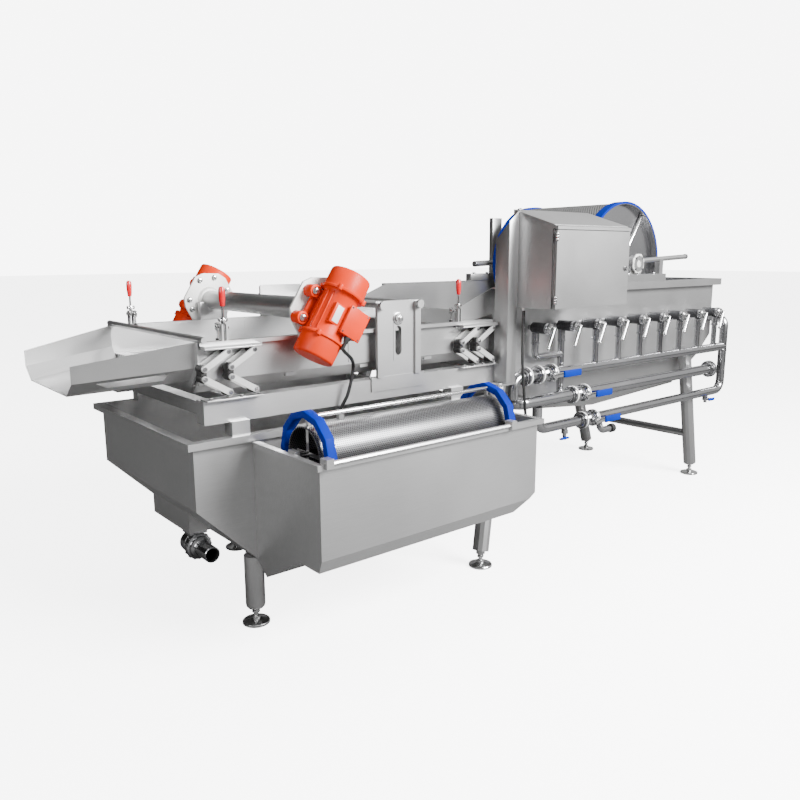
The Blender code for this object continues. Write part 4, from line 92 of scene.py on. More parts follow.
# %% Camera
SENSOR_WIDTH = 36
FOCAL_LENGTH = 33.908
CAMERA_PLACE = Vector((-0.72, -2.86, 1.4))
YAW = math.radians(39.51)
PITCH = math.radians(-10.87)
ROLL = math.radians(-0.23)
camera_data = bpy.data.cameras.new("camera")
camera_data.sensor_width = SENSOR_WIDTH
camera_data.lens = FOCAL_LENGTH
camera = bpy.data.objects.new("camera", camera_data)
bpy.context.scene.collection.objects.link(camera)
level = math.cos(PITCH)
ahead = Vector((math.sin(YAW) * level, math.cos(YAW) * level, math.sin(PITCH)))
camera.location = ORIGIN + CAMERA_PLACE
camera.rotation_mode = "QUATERNION"
tilt = Matrix.Rotation(ROLL, 3, "Z").to_quaternion()
camera.rotation_quaternion = ahead.to_track_quat("-Z", "Y") @ tilt
bpy.context.scene.camera = camera
print("camera stands at", [round(v, 3) for v in camera.location])

# %% [markdown]
# ## Small modelling helpers
# Most fittings are turned, drilled or sawn from bar. Each could be drawn by hand, but a handful
# of helpers built on bmesh operators covers them all. The first are a block, a rod and a stack of
# rods, such as a bolt on its washer.

# %% Blocks and rods
def bar_matrix(start, end):
    """The placing that lays the local Z line along two points, centred between them."""
    start = Vector(start)
    run = Vector(end) - start
    turn = run.to_track_quat("Z", "Y").to_matrix().to_4x4()
    return Matrix.Translation(start + run / 2) @ turn, run.length


def soften(bm, edges, amount, segments=2):
    """Round a few edges."""
    bmesh.ops.bevel(
        bm, geom=list(edges), offset=amount, segments=segments,
        profile=0.5, affect="EDGES", material=-1,
    )


def around(count, radius, first=0):
    """Points evenly round a circle, the first at an angle in degrees."""
    angles = [math.radians(first + 360 * k / count) for k in range(count)]
    return [(radius * math.cos(angle), radius * math.sin(angle)) for angle in angles]


def add_block(bm, low, high, soft=0):
    """A box between two corners, with rounded edges where soft is given."""
    low = Vector(low)
    size = Vector(high) - low
    matrix = Matrix.Translation(low + size / 2) @ Matrix.Diagonal((*size, 1))
    made = bmesh.ops.create_cube(bm, size=1, matrix=matrix)["verts"]
    if soft:
        soften(bm, {edge for vert in made for edge in vert.link_edges}, soft)


def add_box(bm, centre, half, soft=0):
    """A block given by its centre and its half sizes."""
    add_block(bm, Vector(centre) - Vector(half), Vector(centre) + Vector(half), soft)


def add_rod(bm, start, end, radius, sides=24, end_radius=None, soft=0):
    """A round or faceted bar between two points."""
    matrix, length = bar_matrix(start, end)
    last = radius if end_radius is None else end_radius
    made = bmesh.ops.create_cone(
        bm, cap_ends=True, cap_tris=False, segments=sides,
        radius1=radius, radius2=last, depth=length, matrix=matrix,
    )["verts"]
    if soft:
        caps = {face for vert in made for face in vert.link_faces if len(face.verts) == sides}
        soften(bm, {edge for face in caps for edge in face.edges}, soft)


def add_stack(bm, x, z, start, toward, parts):
    """Round or faceted bars across the machine, each on the last: (length, radius, sides, soft)."""
    y = start
    for length, radius, sides, soft in parts:
        add_rod(bm, (x, y, z), (x, y + toward * length, z), radius, sides, soft=soft)
        y += toward * length


print("helpers ready for blocks and rods")

# %% [markdown]
# A lathe turns a bar against a tool, and spinning a profile about a line does the same. A spin
# leaves a seam and a pole of doubled points, so they are merged. A bent pipe is a curve with a
# round bevel, made a mesh straight away.

# %% Turned parts and tubes
MERGE = 0.00001


def join(bm, part):
    """Put a finished working mesh into another one."""
    mesh = bpy.data.meshes.new("part")
    part.to_mesh(mesh)
    part.free()
    bm.from_mesh(mesh)
    bpy.data.meshes.remove(mesh)


def add_turned(bm, profile, start, direction, sides):
    """Spin a profile of (radius, distance) pairs about a line."""
    part = bmesh.new()
    turn = Vector(direction).to_track_quat("Z", "Y").to_matrix().to_4x4()
    verts = [part.verts.new((radius, 0, along)) for radius, along in profile]
    edges = [part.edges.new(pair) for pair in zip(verts, verts[1:])]
    bmesh.ops.spin(
        part, geom=verts + edges, cent=(0, 0, 0), axis=(0, 0, 1), dvec=(0, 0, 0),
        angle=math.tau, steps=sides, use_merge=True, use_duplicate=False,
    )
    bmesh.ops.remove_doubles(part, verts=part.verts, dist=MERGE)
    bmesh.ops.transform(part, matrix=Matrix.Translation(start) @ turn, verts=part.verts)
    join(bm, part)


def rounded_run(corners, radius, steps=7):
    """The points of a run of straight lines whose corners are arcs."""
    points = [Vector(corners[0])]
    for before, here, after in zip(corners, corners[1:], corners[2:]):
        here = Vector(here)
        back = (Vector(before) - here).normalized()
        on = (Vector(after) - here).normalized()
        half = back.angle(on) / 2
        centre = here + (back + on).normalized() * radius / math.sin(half)
        first = here + back * radius / math.tan(half) - centre
        last = here + on * radius / math.tan(half) - centre
        for k in range(steps + 1):
            points.append(centre + first.slerp(last, k / steps) * radius)
    points.append(Vector(corners[-1]))
    return points


def add_tube(bm, points, radius, resolution):
    """A round tube along points, made from a curve with a bevel."""
    curve = bpy.data.curves.new("run", "CURVE")
    curve.dimensions = "3D"
    curve.bevel_depth = radius
    curve.bevel_resolution = resolution
    curve.use_fill_caps = True
    spline = curve.splines.new("POLY")
    spline.points.add(len(points) - 1)
    for slot, point in zip(spline.points, points):
        slot.co = (*point, 1)
    holder = bpy.data.objects.new("run", curve)
    mesh = bpy.data.meshes.new_from_object(holder)
    bm.from_mesh(mesh)
    bpy.data.objects.remove(holder)
    bpy.data.meshes.remove(mesh)


print("helpers ready for turned parts and tubes")

# %% [markdown]
# What is cut from sheet or plate starts as one flat face, which is then extruded across the
# machine. A link's outline is two half circles, one about each pin.

# %% Plates and links
def add_plate(bm, faces, depth):
    """Give flat faces a depth across the machine, and return both ends' faces."""
    grown = bmesh.ops.extrude_face_region(bm, geom=faces)["geom"]
    far = [item for item in grown if isinstance(item, bmesh.types.BMVert)]
    bmesh.ops.translate(bm, verts=far, vec=(0, depth, 0))
    return faces + [item for item in grown if isinstance(item, bmesh.types.BMFace)]


def flat_face(bm, outline):
    """One face through the points of an outline."""
    return [bm.faces.new([bm.verts.new(point) for point in outline])]


def add_link(bm, start, end, half_width, y_low, y_high, soft=0.0012):
    """A flat bar with round ends, standing in the plane across the machine's width."""
    run = Vector((end[0] - start[0], 0, end[1] - start[1])).normalized()
    across = run.cross(Vector((0, 1, 0)))
    outline = []
    for centre, first in ((start, 90), (end, -90)):
        for k in range(7):
            angle = math.radians(first + 30 * k)
            spot = (run * math.cos(angle) - across * math.sin(angle)) * half_width
            outline.append(Vector((centre[0], y_low, centre[1])) + spot)
    caps = add_plate(bm, flat_face(bm, outline), y_high - y_low)
    soften(bm, {edge for cap in caps for edge in cap.edges}, soft, 1)


print("helpers ready for plates and links")

# %% [markdown]
# A finished fitting is moved from the drawing into the machine's own frame, gets smooth
# shading that breaks at sharp edges, one finish, and the body that it rides on. Without a body
# it is left free, for a piece between two bodies.

# %% Showing a piece
made_pieces = []


def show(name, bm, finish, body="frame", stands_for=(), sharp=35, matrix=None):
    """Turn the working mesh into a piece that rides on a body, if one is named."""
    if matrix is not None:
        bmesh.ops.transform(bm, matrix=matrix, verts=bm.verts)
    bmesh.ops.translate(bm, verts=bm.verts, vec=ORIGIN)
    bmesh.ops.remove_doubles(bm, verts=bm.verts, dist=MERGE)
    bmesh.ops.recalc_face_normals(bm, faces=bm.faces)
    mesh = bpy.data.meshes.new(name)
    bm.to_mesh(mesh)
    bm.free()
    mesh.shade_smooth()
    mesh.set_sharp_from_angle(angle=math.radians(sharp))
    mesh.materials.append(finish)
    piece = bpy.data.objects.new(name, mesh)
    bpy.context.scene.collection.objects.link(piece)
    if body:
        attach(piece, body)
    if stands_for:
        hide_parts(*stands_for)
    made_pieces.append(name)
    return piece


print("pieces are shown by show()")

# %% [markdown]
# ## Finishes
# A finish could be a photograph wrapped round the part. A small node tree on Object coordinates
# needs no image and fits a piece of any size, so every finish here is one. Two helpers, one that
# fills a node's inputs and one that adds a node, let each tree read as a short list.

# %% Helpers for node trees
EVEN = (1, 1, 1)


def fill(tree, node, values):
    """Give a node's inputs numbers, colours or the outputs of other nodes."""
    for key, value in values.items():
        socket = node.inputs[key]
        if isinstance(value, bpy.types.NodeSocket):
            tree.links.new(value, socket)
        elif isinstance(value, tuple) and len(value) < len(socket.default_value):
            socket.default_value = (*value, 1)
        else:
            socket.default_value = value


def add_node(tree, kind, values):
    """A shader node with its inputs filled."""
    node = tree.nodes.new("ShaderNode" + kind)
    fill(tree, node, values)
    return node


def new_finish(name):
    """An empty finish with its shader and its object coordinates."""
    material = bpy.data.materials.new(name)
    material.use_nodes = True
    tree = material.node_tree
    coords = tree.nodes.new("ShaderNodeTexCoord")
    return material, tree, tree.nodes["Principled BSDF"], coords.outputs["Object"]


def noise_layer(tree, coords, scale, detail=4, roughness=0.6, stretch=EVEN):
    """A noise pattern, stretched along the directions given."""
    mapping = add_node(tree, "Mapping", {"Vector": coords, "Scale": stretch})
    noise = {"Scale": scale, "Detail": detail, "Roughness": roughness}
    return add_node(tree, "TexNoise", {"Vector": mapping.outputs["Vector"], **noise}).outputs["Fac"]


def ranged(tree, value, low, high, from_low=0.3, from_high=0.7):
    """Spread a pattern's value between two numbers."""
    given = {"Value": value, "From Min": from_low, "From Max": from_high}
    return add_node(tree, "MapRange", {**given, "To Min": low, "To Max": high}).outputs["Result"]


def mixed_colour(tree, factor, first, second):
    """Mix two colours, or two colour outputs, by a pattern."""
    node = add_node(tree, "Mix", {})
    node.data_type = "RGBA"
    fill(tree, node, {"Factor": factor, 6: first, 7: second})
    return node.outputs[2]


def add_bump(tree, shader, height, strength, distance=0.001):
    """Raise the surface by a pattern."""
    bump = add_node(tree, "Bump", {"Height": height, "Strength": strength, "Distance": distance})
    fill(tree, shader, {"Normal": bump.outputs["Normal"]})


def shades(colour, amount):
    """A darker and a lighter version of a colour."""
    return [tuple(min(1, c * (1 + change)) for c in colour) for change in (-amount, amount)]


print("helpers ready for node trees")

# %% [markdown]
# Steel sheet is never one flat grey: the belt leaves long fine scratches along the sheet, and
# handling leaves soft clouds in the gloss. A noise stretched sixty times makes the scratches and
# a broad one the clouds. One function gives both, for sheet, bar and castings alike.

# %% Metals
ALONG = (1, 60, 60)
ALONG_PIPE = (3, 40, 40)
UPRIGHT = (60, 60, 1)
CLOUD_SCALE = 2.2


def metal(name, colour, gloss, stretch, scale, contrast, relief, metallic=1):
    """Metal with scratches along its grain and clouds in its gloss."""
    material, tree, shader, coords = new_finish(name)
    scratches = noise_layer(tree, coords, scale, 5, 0.7, stretch)
    clouds = noise_layer(tree, coords, CLOUD_SCALE, 3, 0.5)
    grain = mixed_colour(tree, ranged(tree, scratches, 0, 1), *shades(colour, contrast))
    cloudy = shades(colour, contrast * 0.8)[0]
    fill(tree, shader, {
        "Base Color": mixed_colour(tree, ranged(tree, clouds, 0, 0.5), grain, cloudy),
        "Roughness": ranged(tree, clouds, gloss - 0.05, gloss + 0.07),
        "Metallic": metallic,
    })
    add_bump(tree, shader, scratches, relief)
    return material


sheet_steel = metal("sheet_steel", (0.56, 0.56, 0.56), 0.34, ALONG, 14, 0.07, 0.06, 0.9)
upright_steel = metal("upright_steel", (0.5, 0.5, 0.5), 0.33, UPRIGHT, 14, 0.07, 0.06, 0.9)
pipe_steel = metal("pipe_steel", (0.46, 0.46, 0.47), 0.2, ALONG_PIPE, 12, 0.06, 0.04)
bright_steel = metal("bright_steel", (0.74, 0.74, 0.74), 0.16, EVEN, 60, 0.05, 0.03)
# Dark steel, also used as painted shade in the lifting bars' open ends.
dark_steel_and_shade = metal("dark_steel_and_shade", (0.3, 0.3, 0.31), 0.3, EVEN, 70, 0.15, 0.1)
cast_grey = metal("cast_grey", (0.68, 0.68, 0.66), 0.55, EVEN, 130, 0.16, 0.5, 0.35)
arm_alloy = metal("arm_alloy", (0.66, 0.66, 0.65), 0.42, EVEN, 90, 0.08, 0.15, 0.7)
print("metals made")

# %% [markdown]
# Paint, moulded plastic, dipped grips and rubber aren't metallic. They share one function: a
# base colour that drifts a little, a fine orange-peel or moulded grain, and a soft coat. The
# blues and the orange get less shine of their own, because a white room washes a deep colour out.

# %% Paint, plastic and rubber
DRIFT = 0.08
DRIFT_SCALE = 9


def coating(name, colour, gloss, grain_scale, relief, coat=0, specular=0.5):
    """A coated or moulded surface with a fine grain."""
    material, tree, shader, coords = new_finish(name)
    grain = noise_layer(tree, coords, grain_scale, 3, 0.6)
    clouds = noise_layer(tree, coords, DRIFT_SCALE, 2, 0.5)
    fill(tree, shader, {
        "Base Color": mixed_colour(tree, ranged(tree, clouds, 0, 1), *shades(colour, DRIFT)),
        "Roughness": ranged(tree, grain, gloss - 0.04, gloss + 0.06),
        "Specular IOR Level": specular,
        "Coat Weight": coat,
        "Coat Roughness": 0.12,
    })
    add_bump(tree, shader, grain, relief)
    return material


motor_paint = coating("motor_paint", (0.62, 0.028, 0.0005), 0.42, 150, 0.15, 0.02, 0.15)
hoop_blue = coating("hoop_blue", (0, 0.014, 0.22), 0.5, 120, 0.06, 0, 0.06)
sleeve_blue = coating("sleeve_blue", (0, 0.018, 0.23), 0.42, 160, 0.08, 0, 0.08)
grip_red = coating("grip_red", (0.58, 0.002, 0.01), 0.26, 160, 0.06, 0.3)
# Black rubber, also used as painted shade inside the drain's bore and in the cabinet door's gap.
black_rubber_and_shade = coating("black_rubber_and_shade", (0.012, 0.012, 0.012), 0.5, 220, 0.2)
cable_black = coating("cable_black", (0.01, 0.01, 0.01), 0.38, 260, 0.1)
white_seal = coating("white_seal", (0.88, 0.88, 0.87), 0.4, 140, 0.06)
plate_grey = coating("plate_grey", (0.72, 0.74, 0.76), 0.35, 260, 0.04)
print("coatings made")

# %% [markdown]
# The jets' sleeves are knurled so that a wet hand can turn them. Cell noise gives small pits set
# close together, which reads as a knurl at this size and costs no geometry. The pits are painted
# darker than the tops, as painted shade.

# %% Knurled metal
KNURL_SCALE = 230
knurl, tree, shader, coords = new_finish("knurled_metal")
pits = add_node(tree, "TexVoronoi", {"Vector": coords, "Scale": KNURL_SCALE}).outputs["Distance"]
height = ranged(tree, pits, 0, 1, 0, 0.9)
# The pits take the darker colour: painted shade in the knurl's hollows.
fill(tree, shader, {
    "Base Color": mixed_colour(tree, height, (0.02, 0.02, 0.022), (0.075, 0.075, 0.08)),
    "Metallic": 0.5,
    "Roughness": 0.45,
})
add_bump(tree, shader, pits, 0.6, 0.0008)
print("knurl made")

# %% [markdown]
# The drums' shells and the deck's screen are punched. Thousands of real holes would make heavy
# meshes, so a finish draws them: a UV map named "holes" counts holes along and across, every
# second row is shifted by half a hole, and what is near a hole's middle turns dark and dull. The
# dark is painted shade for what is seen through the hole.

# %% Punched sheet
ROW = 0.866
# The colour of a hole: painted shade for the dark seen through it.
HOLE_SHADE = (0.015, 0.015, 0.015)


def math_node(tree, operation, first, second=0):
    """One sum on patterns or numbers."""
    node = add_node(tree, "Math", {0: first, 1: second})
    node.operation = operation
    return node.outputs[0]


def from_middle(tree, value):
    """How far a pattern lies from the middle of its present unit."""
    return math_node(tree, "SUBTRACT", math_node(tree, "FRACT", value), 0.5)


def punched_metal(name, colour, hole, gloss=0.3):
    """Sheet with staggered round holes on a UV map that counts holes."""
    material, tree, shader, coords = new_finish(name)
    uv = tree.nodes.new("ShaderNodeUVMap")
    uv.uv_map = "holes"
    count = add_node(tree, "SeparateXYZ", {"Vector": uv.outputs["UV"]}).outputs
    rows = math_node(tree, "DIVIDE", count["Y"], ROW)
    odd = math_node(tree, "MODULO", math_node(tree, "FLOOR", rows), 2)
    shifted = math_node(tree, "ADD", count["X"], math_node(tree, "MULTIPLY", odd, 0.5))
    across = math_node(tree, "POWER", from_middle(tree, shifted), 2)
    up = math_node(tree, "POWER", math_node(tree, "MULTIPLY", from_middle(tree, rows), ROW), 2)
    solid = math_node(tree, "GREATER_THAN", math_node(tree, "ADD", across, up), hole * hole)
    grain = ranged(tree, noise_layer(tree, coords, 60), 0, 1)
    sheet = mixed_colour(tree, grain, shades(colour, DRIFT)[0], colour)
    fill(tree, shader, {
        "Base Color": mixed_colour(tree, solid, HOLE_SHADE, sheet),
        "Metallic": math_node(tree, "MULTIPLY", solid, 0.9),
        "Roughness": ranged(tree, solid, 0.8, gloss, 0, 1),
    })
    add_bump(tree, shader, solid, 0.5, 0.0008)
    return material


drum_sheet = punched_metal("drum_sheet", (0.6, 0.6, 0.6), 0.33)
# The filter drum's sheet is a darker copy of the same punched steel: painted shade for its place
# low in the tank.
shaded_filter_sheet = punched_metal("shaded_filter_sheet", (0.2, 0.2, 0.205), 0.3)
screen_sheet = punched_metal("screen_sheet", (0.66, 0.66, 0.66), 0.3, 0.42)
print("punched sheets made")

# %% [markdown]
# ## Giving the sheet metal its finish
# Tanks, rails and troughs are folded sheet with true folds already in the drawing. They could be
# modelled again, but keeping their solids keeps their shapes exact, so they only take a finish.
# Every other solid starts as plain bright steel.

# %% Finishes on the kept solids
kept = {
    sheet_steel: [
        "wash_tank", "collector_tank", "filter_tank", "screen_frame", "chute", "deck",
        "cabinet", "cabinet_door", "gate_bridge",
    ],
    screen_sheet: ["screen_panel"],
    upright_steel: ["leg_far_middle", "leg_near_middle", "end_stand", "drum_bracket_near"],
    cable_black: ["cable_cabinet", "cable_motor"],
}
finish_of = {name: finish for finish, names in kept.items() for name in names}
for name, node in nodes.items():
    node.data.materials.clear()
    node.data.materials.append(finish_of.get(name, bright_steel))
print(len(finish_of), "solids keep their shape")

# %% [markdown]
# The deck's screen keeps its slotted solid. Its fine slots between the large ones are drawn, on a
# UV map made from the plate's length and width, so only that map is added here.

# %% Screen plate
SCREEN_PITCH = 0.014
screen = nodes["screen_panel"].data
layer = screen.uv_layers.new(name="holes")
for loop in screen.loops:
    spot = screen.vertices[loop.vertex_index].co
    layer.data[loop.index].uv = (spot.x / SCREEN_PITCH, spot.y / SCREEN_PITCH)
print("screen dressed")

# %% [markdown]
# ## Vibrating motors
# Two unbalance motors shake the deck. They hang on a beam across it and lean by the angle of
# throw. Each could be modelled in its leaning place, but it is easier to build it upright about
# its own shaft and turn it afterwards, and the far one is the near one mirrored.

# %% Motor sizes
TILT = math.radians(32)
BEAM_X = 0.8595
BEAM_Z = 1.2
MOTOR_Y = 0.5539
MOTOR_DROP = 0.02
HALF = 0.1725
FLANGE = HALF - 0.078
COVER = 0.079
BODY = 0.069
FOOT_X = 0.088
FOOT_Z = 0.0555
PLATE_Y = 0.086
FOOT_TOP = PLATE_Y - 0.052
FEET = [(x, z) for x in (-FOOT_X, FOOT_X) for z in (-FOOT_Z, FOOT_Z)]


def motor_place(sign):
    """The leaning frame of the near (-1) or far (+1) motor."""
    turn = Matrix.Rotation(TILT, 4, "Y")
    place = Matrix.Translation((BEAM_X, sign * MOTOR_Y, BEAM_Z - MOTOR_DROP)) @ turn
    return place if sign < 0 else place @ Matrix.Diagonal((1, -1, 1, 1))


print("motors lean by", round(math.degrees(TILT)), "degrees")

# %% [markdown]
# A motor is a ribbed casting between two weight covers, bolted by four feet to a cast plate. The
# round body and covers could be stacked cylinders, but one profile spun about the shaft keeps
# their small steps and lips in one list. Blocks and rods give the ribs and feet.

# %% Motor castings
def motor_casting():
    """Body, weight covers, ribs and feet; the cast plate is on the +Y side."""
    bm = bmesh.new()
    upper = [
        (BODY, 0), (BODY, FLANGE - 0.016), (BODY + 0.005, FLANGE - 0.009),
        (COVER + 0.005, FLANGE - 0.008), (COVER + 0.006, FLANGE - 0.006), (COVER + 0.006, FLANGE),
        (COVER + 0.004, FLANGE + 0.002), (COVER, FLANGE + 0.003), (COVER - 0.001, HALF - 0.008),
        (COVER - 0.004, HALF - 0.0025), (COVER - 0.01, HALF), (COVER - 0.03, HALF),
        (0, HALF - 0.001),
    ]
    lower = [(radius, -along) for radius, along in reversed(upper)]
    add_turned(bm, lower + upper[1:], (0, 0, 0), (0, 0, 1), 48)
    for k in range(5):
        angle = math.radians(150 + 20 * k)
        rib = Vector((math.cos(angle), -math.sin(angle), 0)) * (BODY + 0.002)
        add_box(bm, rib, (0.002, 0.002, FLANGE - 0.02), 0.001)
    for x, z in FEET:
        add_rod(bm, (x, PLATE_Y - GAP, z), (x, FOOT_TOP, z), 0.024, 20, soft=0.003)
        low_x, high_x = sorted((x, math.copysign(BODY * 0.5, x)))
        low = (low_x, PLATE_Y - 0.046, z - 0.018)
        add_block(bm, low, (high_x, PLATE_Y - 0.004, z + 0.018), 0.004)
    for side in (-1, 1):
        low_x, high_x = sorted((side * (FOOT_X - 0.006), side * BODY * 0.6))
        add_block(bm, (low_x, PLATE_Y - 0.03, -FOOT_Z), (high_x, PLATE_Y - 0.016, FOOT_Z), 0.003)
    for x, y in around(4, COVER + 0.004, 45):
        for z in (0.003 - FLANGE, FLANGE - 0.003):
            add_rod(bm, (x, y, z - 0.01), (x, y, z + 0.01), 0.009, 14, soft=0.0015)
    return bm


print("castings ready, each with", len(FEET), "feet")

# %% [markdown]
# The terminal box sits on the side away from the plate, with a lid, four screws and a gland for
# the cable. The rating plate is left blank. A bolt here is a stack of a washer, a hexagon and the
# thread's end, so each kind of bolt is one short list of lengths and radii.

# %% Terminal boxes, bolts and glands
FOOT_BOLT = ((0.004, 0.0155, 20, 0), (0.009, 0.0115, 6, 0.001), (0.004, 0.006, 12, 0))
GLAND = (0.0507, -0.0763)


def motor_box():
    """Terminal box, its lid and the ledge beside it."""
    bm = bmesh.new()
    add_block(bm, (0.006, -0.082, -0.052), (0.092, -0.03, 0.052), 0.005)
    add_block(bm, (0.002, -0.089, -0.055), (0.096, -0.08, 0.055), 0.003)
    add_block(bm, (-0.05, -0.07, -0.04), (-0.004, -0.05, 0.036), 0.003)
    return bm


def motor_fasteners():
    """Foot bolts and lid screws."""
    bm = bmesh.new()
    for x, z in FEET:
        add_stack(bm, x, z, FOOT_TOP + 0.001, -1, FOOT_BOLT)
    for x in (0.01, 0.088):
        for z in (-0.047, 0.047):
            add_rod(bm, (x, -0.088, z), (x, -0.0894, z), 0.004, 10)
    return bm


for sign, side in SIDES:
    name = "motor_" + side
    place = motor_place(sign)
    casting, box = motor_casting(), motor_box()
    show(name + "_casting", casting, motor_paint, "deck_body", [name], 40, place)
    show(name + "_terminal_box", box, motor_paint, "deck_body", [], 40, place)
    show(name + "_fasteners", motor_fasteners(), bright_steel, "deck_body", matrix=place)
    plate = bmesh.new()
    add_block(plate, (-0.04, -0.0712, -0.033), (-0.012, -0.0698, 0.03), 0.0004)
    show(name + "_nameplate", plate, plate_grey, "deck_body", matrix=place)
    gland = bmesh.new()
    add_rod(gland, (*GLAND, -0.045), (*GLAND, -0.066), 0.0125, 6, soft=0.001)
    add_rod(gland, (*GLAND, -0.066), (*GLAND, -0.078), 0.011, 20, 0.0085)
    show(name + "_gland", gland, black_rubber_and_shade, "deck_body", matrix=place)
print("motors dressed")

# %% [markdown]
# ## Motor beam
# A thick tube crosses the deck and carries a cast plate at each end. The plate is a rectangle
# with long cut corners. A block with bevelled corners would cut them all at 45 degrees, so the
# outline is drawn as one face, extruded and rounded. Nuts on its inner face hold the motor.

# %% Beam, cast plates and bolts
PLATE_CORNERS = ((0.18, -1), (0.77, -0.7), (1, -0.44), (1, 0.44), (0.77, 0.7), (0.18, 1))
PLATE_HALF = (0.112, 0.128)
PLATE_INNER = 0.4556
PLATE_THICK = 0.012
PLATE_NUT = ((0.003, 0.013, 20, 0), (0.009, 0.0095, 6, 0.001), (0.005, 0.005, 12, 0))
CLAMP_BASE = (0.419, 0.451)
BEAM_PLACE = Matrix.Translation((BEAM_X, 0, BEAM_Z)) @ Matrix.Rotation(TILT, 4, "Y")


def cast_plate(sign):
    """One end plate with its raised boss round the tube."""
    bm = bmesh.new()
    right = [(PLATE_HALF[0] * a, PLATE_HALF[1] * b) for a, b in PLATE_CORNERS]
    outline = right + [(-x, z) for x, z in reversed(right)]
    inner = sign * PLATE_INNER
    add_plate(bm, flat_face(bm, [(x, inner, z) for x, z in outline]), sign * PLATE_THICK)
    soften(bm, list(bm.edges), 0.002)
    add_rod(bm, (0, inner + sign * 0.004, 0), (0, inner - sign * 0.01, 0), 0.062, 40, 0.05, 0.002)
    return bm


def plate_bolts(sign):
    """Nuts and washers on the plate's inner face."""
    bm = bmesh.new()
    places = [(a * 0.086, b * 0.052) for a in (-1, 1) for b in (-1, 1)]
    places += [(-0.03, 0.1), (0.03, -0.1), (0.055, 0.083), (-0.055, -0.083)]
    for x, z in places:
        add_stack(bm, x, z, sign * PLATE_INNER, -sign, PLATE_NUT)
    return bm


tube = bmesh.new()
add_rod(tube, (BEAM_X, -PLATE_INNER, BEAM_Z), (BEAM_X, PLATE_INNER, BEAM_Z), 0.0425, 48)
for sign in (-1, 1):
    low, high = sorted(sign * edge for edge in CLAMP_BASE)
    add_block(tube, (BEAM_X - 0.068, low, 1.1103), (BEAM_X + 0.068, high, 1.1915), 0.002)
show("motor_beam_tube", tube, upright_steel, "deck_body", ["motor_beam"])
for sign, side in SIDES:
    plate = cast_plate(sign)
    show("motor_plate_" + side, plate, cast_grey, "deck_body", matrix=BEAM_PLACE)
    bolts = plate_bolts(sign)
    show("motor_plate_bolts_" + side, bolts, bright_steel, "deck_body", matrix=BEAM_PLACE)
print("beam dressed")

# %% [markdown]
# ## Spring mounts
# The deck stands on four rubber spring mounts. In each, two pairs of alloy arms fold like a
# knee, and every joint is a square pin in rubber. The places of the pins come first, because
# arms, rubber and bolts all follow from them.

# %% Mount sizes and pins
MOUNT_LOW = 0.9053
MOUNT_HIGH = 1.0907
MOUNT_BACK = 0.432
MOUNT_FRONT = 0.492
MOUNT_WIDTH = 0.218
MOUNT_SHEET = 0.006
ARM_REACH = 0.092
ARM_HALF = 0.0115
PIN = 0.015
KNEES = (0.089, 0.19)
KNEE_OPEN = 0.0175
BASE_BOLTS = (0.08, 0.36, 0.62, 0.94)


def mount_knees(left):
    """The pins of a mount's two knees: upper arm, then lower arm, for each."""
    low = MOUNT_LOW + MOUNT_SHEET + PIN * 1.4
    high = MOUNT_HIGH - PIN
    middle = (low + high) / 2
    knees = []
    for x in (left + step for step in KNEES):
        knees.append(((x, high), (x - ARM_REACH, middle + KNEE_OPEN)))
        knees.append(((x, low), (x - ARM_REACH, middle - KNEE_OPEN)))
    return knees


print("a mount has", 2 * len(mount_knees(0)), "pins")

# %% [markdown]
# The arms are flat bars with round ends, the rubber shows as a black sleeve behind each joint,
# and a bolt on a washer closes it. The top plate shakes with the deck and the bottom plate
# stays. What is between them would part from one if it rode on the other, so it rides on
# neither, and its placing is baked into its mesh.

# %% One spring mount
def build_mount(name, left, sign):
    """Arms, plates, rubber sleeves and bolts of one mount."""
    arms, rubber, washers, heads, plate, top_plate = (bmesh.new() for _ in range(6))
    front = sorted((sign * (MOUNT_FRONT - 0.0124), sign * (MOUNT_FRONT - 0.0024)))
    rear = sorted((sign * (MOUNT_BACK + 0.001), sign * (MOUNT_BACK + 0.009)))
    rubber_low, rubber_high = sorted((sign * (MOUNT_BACK + 0.008), sign * (MOUNT_FRONT - 0.012)))
    low_y, high_y = sorted((sign * MOUNT_BACK, sign * (MOUNT_FRONT - 0.002)))
    face = sign * (MOUNT_FRONT - 0.0026)
    right = left + MOUNT_WIDTH
    knees = mount_knees(left)
    for start, end in knees:
        add_link(arms, start, end, ARM_HALF, *front)
        add_link(arms, start, end, ARM_HALF, *rear)
        for x, z in (start, end):
            add_rod(rubber, (x, rubber_low, z), (x, rubber_high, z), 0.0145, 20, soft=0.001)
            add_rod(washers, (x, face, z), (x, face + sign * 0.0016, z), 0.0088, 20)
            add_rod(heads, (x, face, z), (x, face + sign * 0.0026, z), 0.0055, 6)
    for upper, lower in zip(knees[::2], knees[1::2]):
        x, high_z = upper[1]
        low = (x - 0.011, rubber_low, lower[1][1])
        add_block(rubber, low, (x + 0.011, rubber_high, high_z), 0.002)
    top = MOUNT_LOW + MOUNT_SHEET
    under = MOUNT_HIGH - MOUNT_SHEET
    add_block(plate, (left, low_y, MOUNT_LOW), (right, high_y, top), 0.0008)
    add_block(top_plate, (left, low_y, under), (right, high_y, MOUNT_HIGH), 0.0008)
    for share in BASE_BOLTS:
        spot = Vector((left + MOUNT_WIDTH * share, sign * (MOUNT_FRONT - 0.012), top))
        add_rod(heads, spot, spot + Vector((0, 0, 0.007)), 0.0075, 6, soft=0.0006)
    show(name + "_plate", plate, sheet_steel, "frame")
    show(name + "_top_plate", top_plate, sheet_steel, "deck_body")
    bending = [
        show(name + "_arms", arms, arm_alloy, None, [name]),
        show(name + "_rubber", rubber, black_rubber_and_shade, None),
        show(name + "_washers", washers, dark_steel_and_shade, None),
        show(name + "_bolts", heads, bright_steel, None),
    ]
    for piece in bending:
        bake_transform(piece)


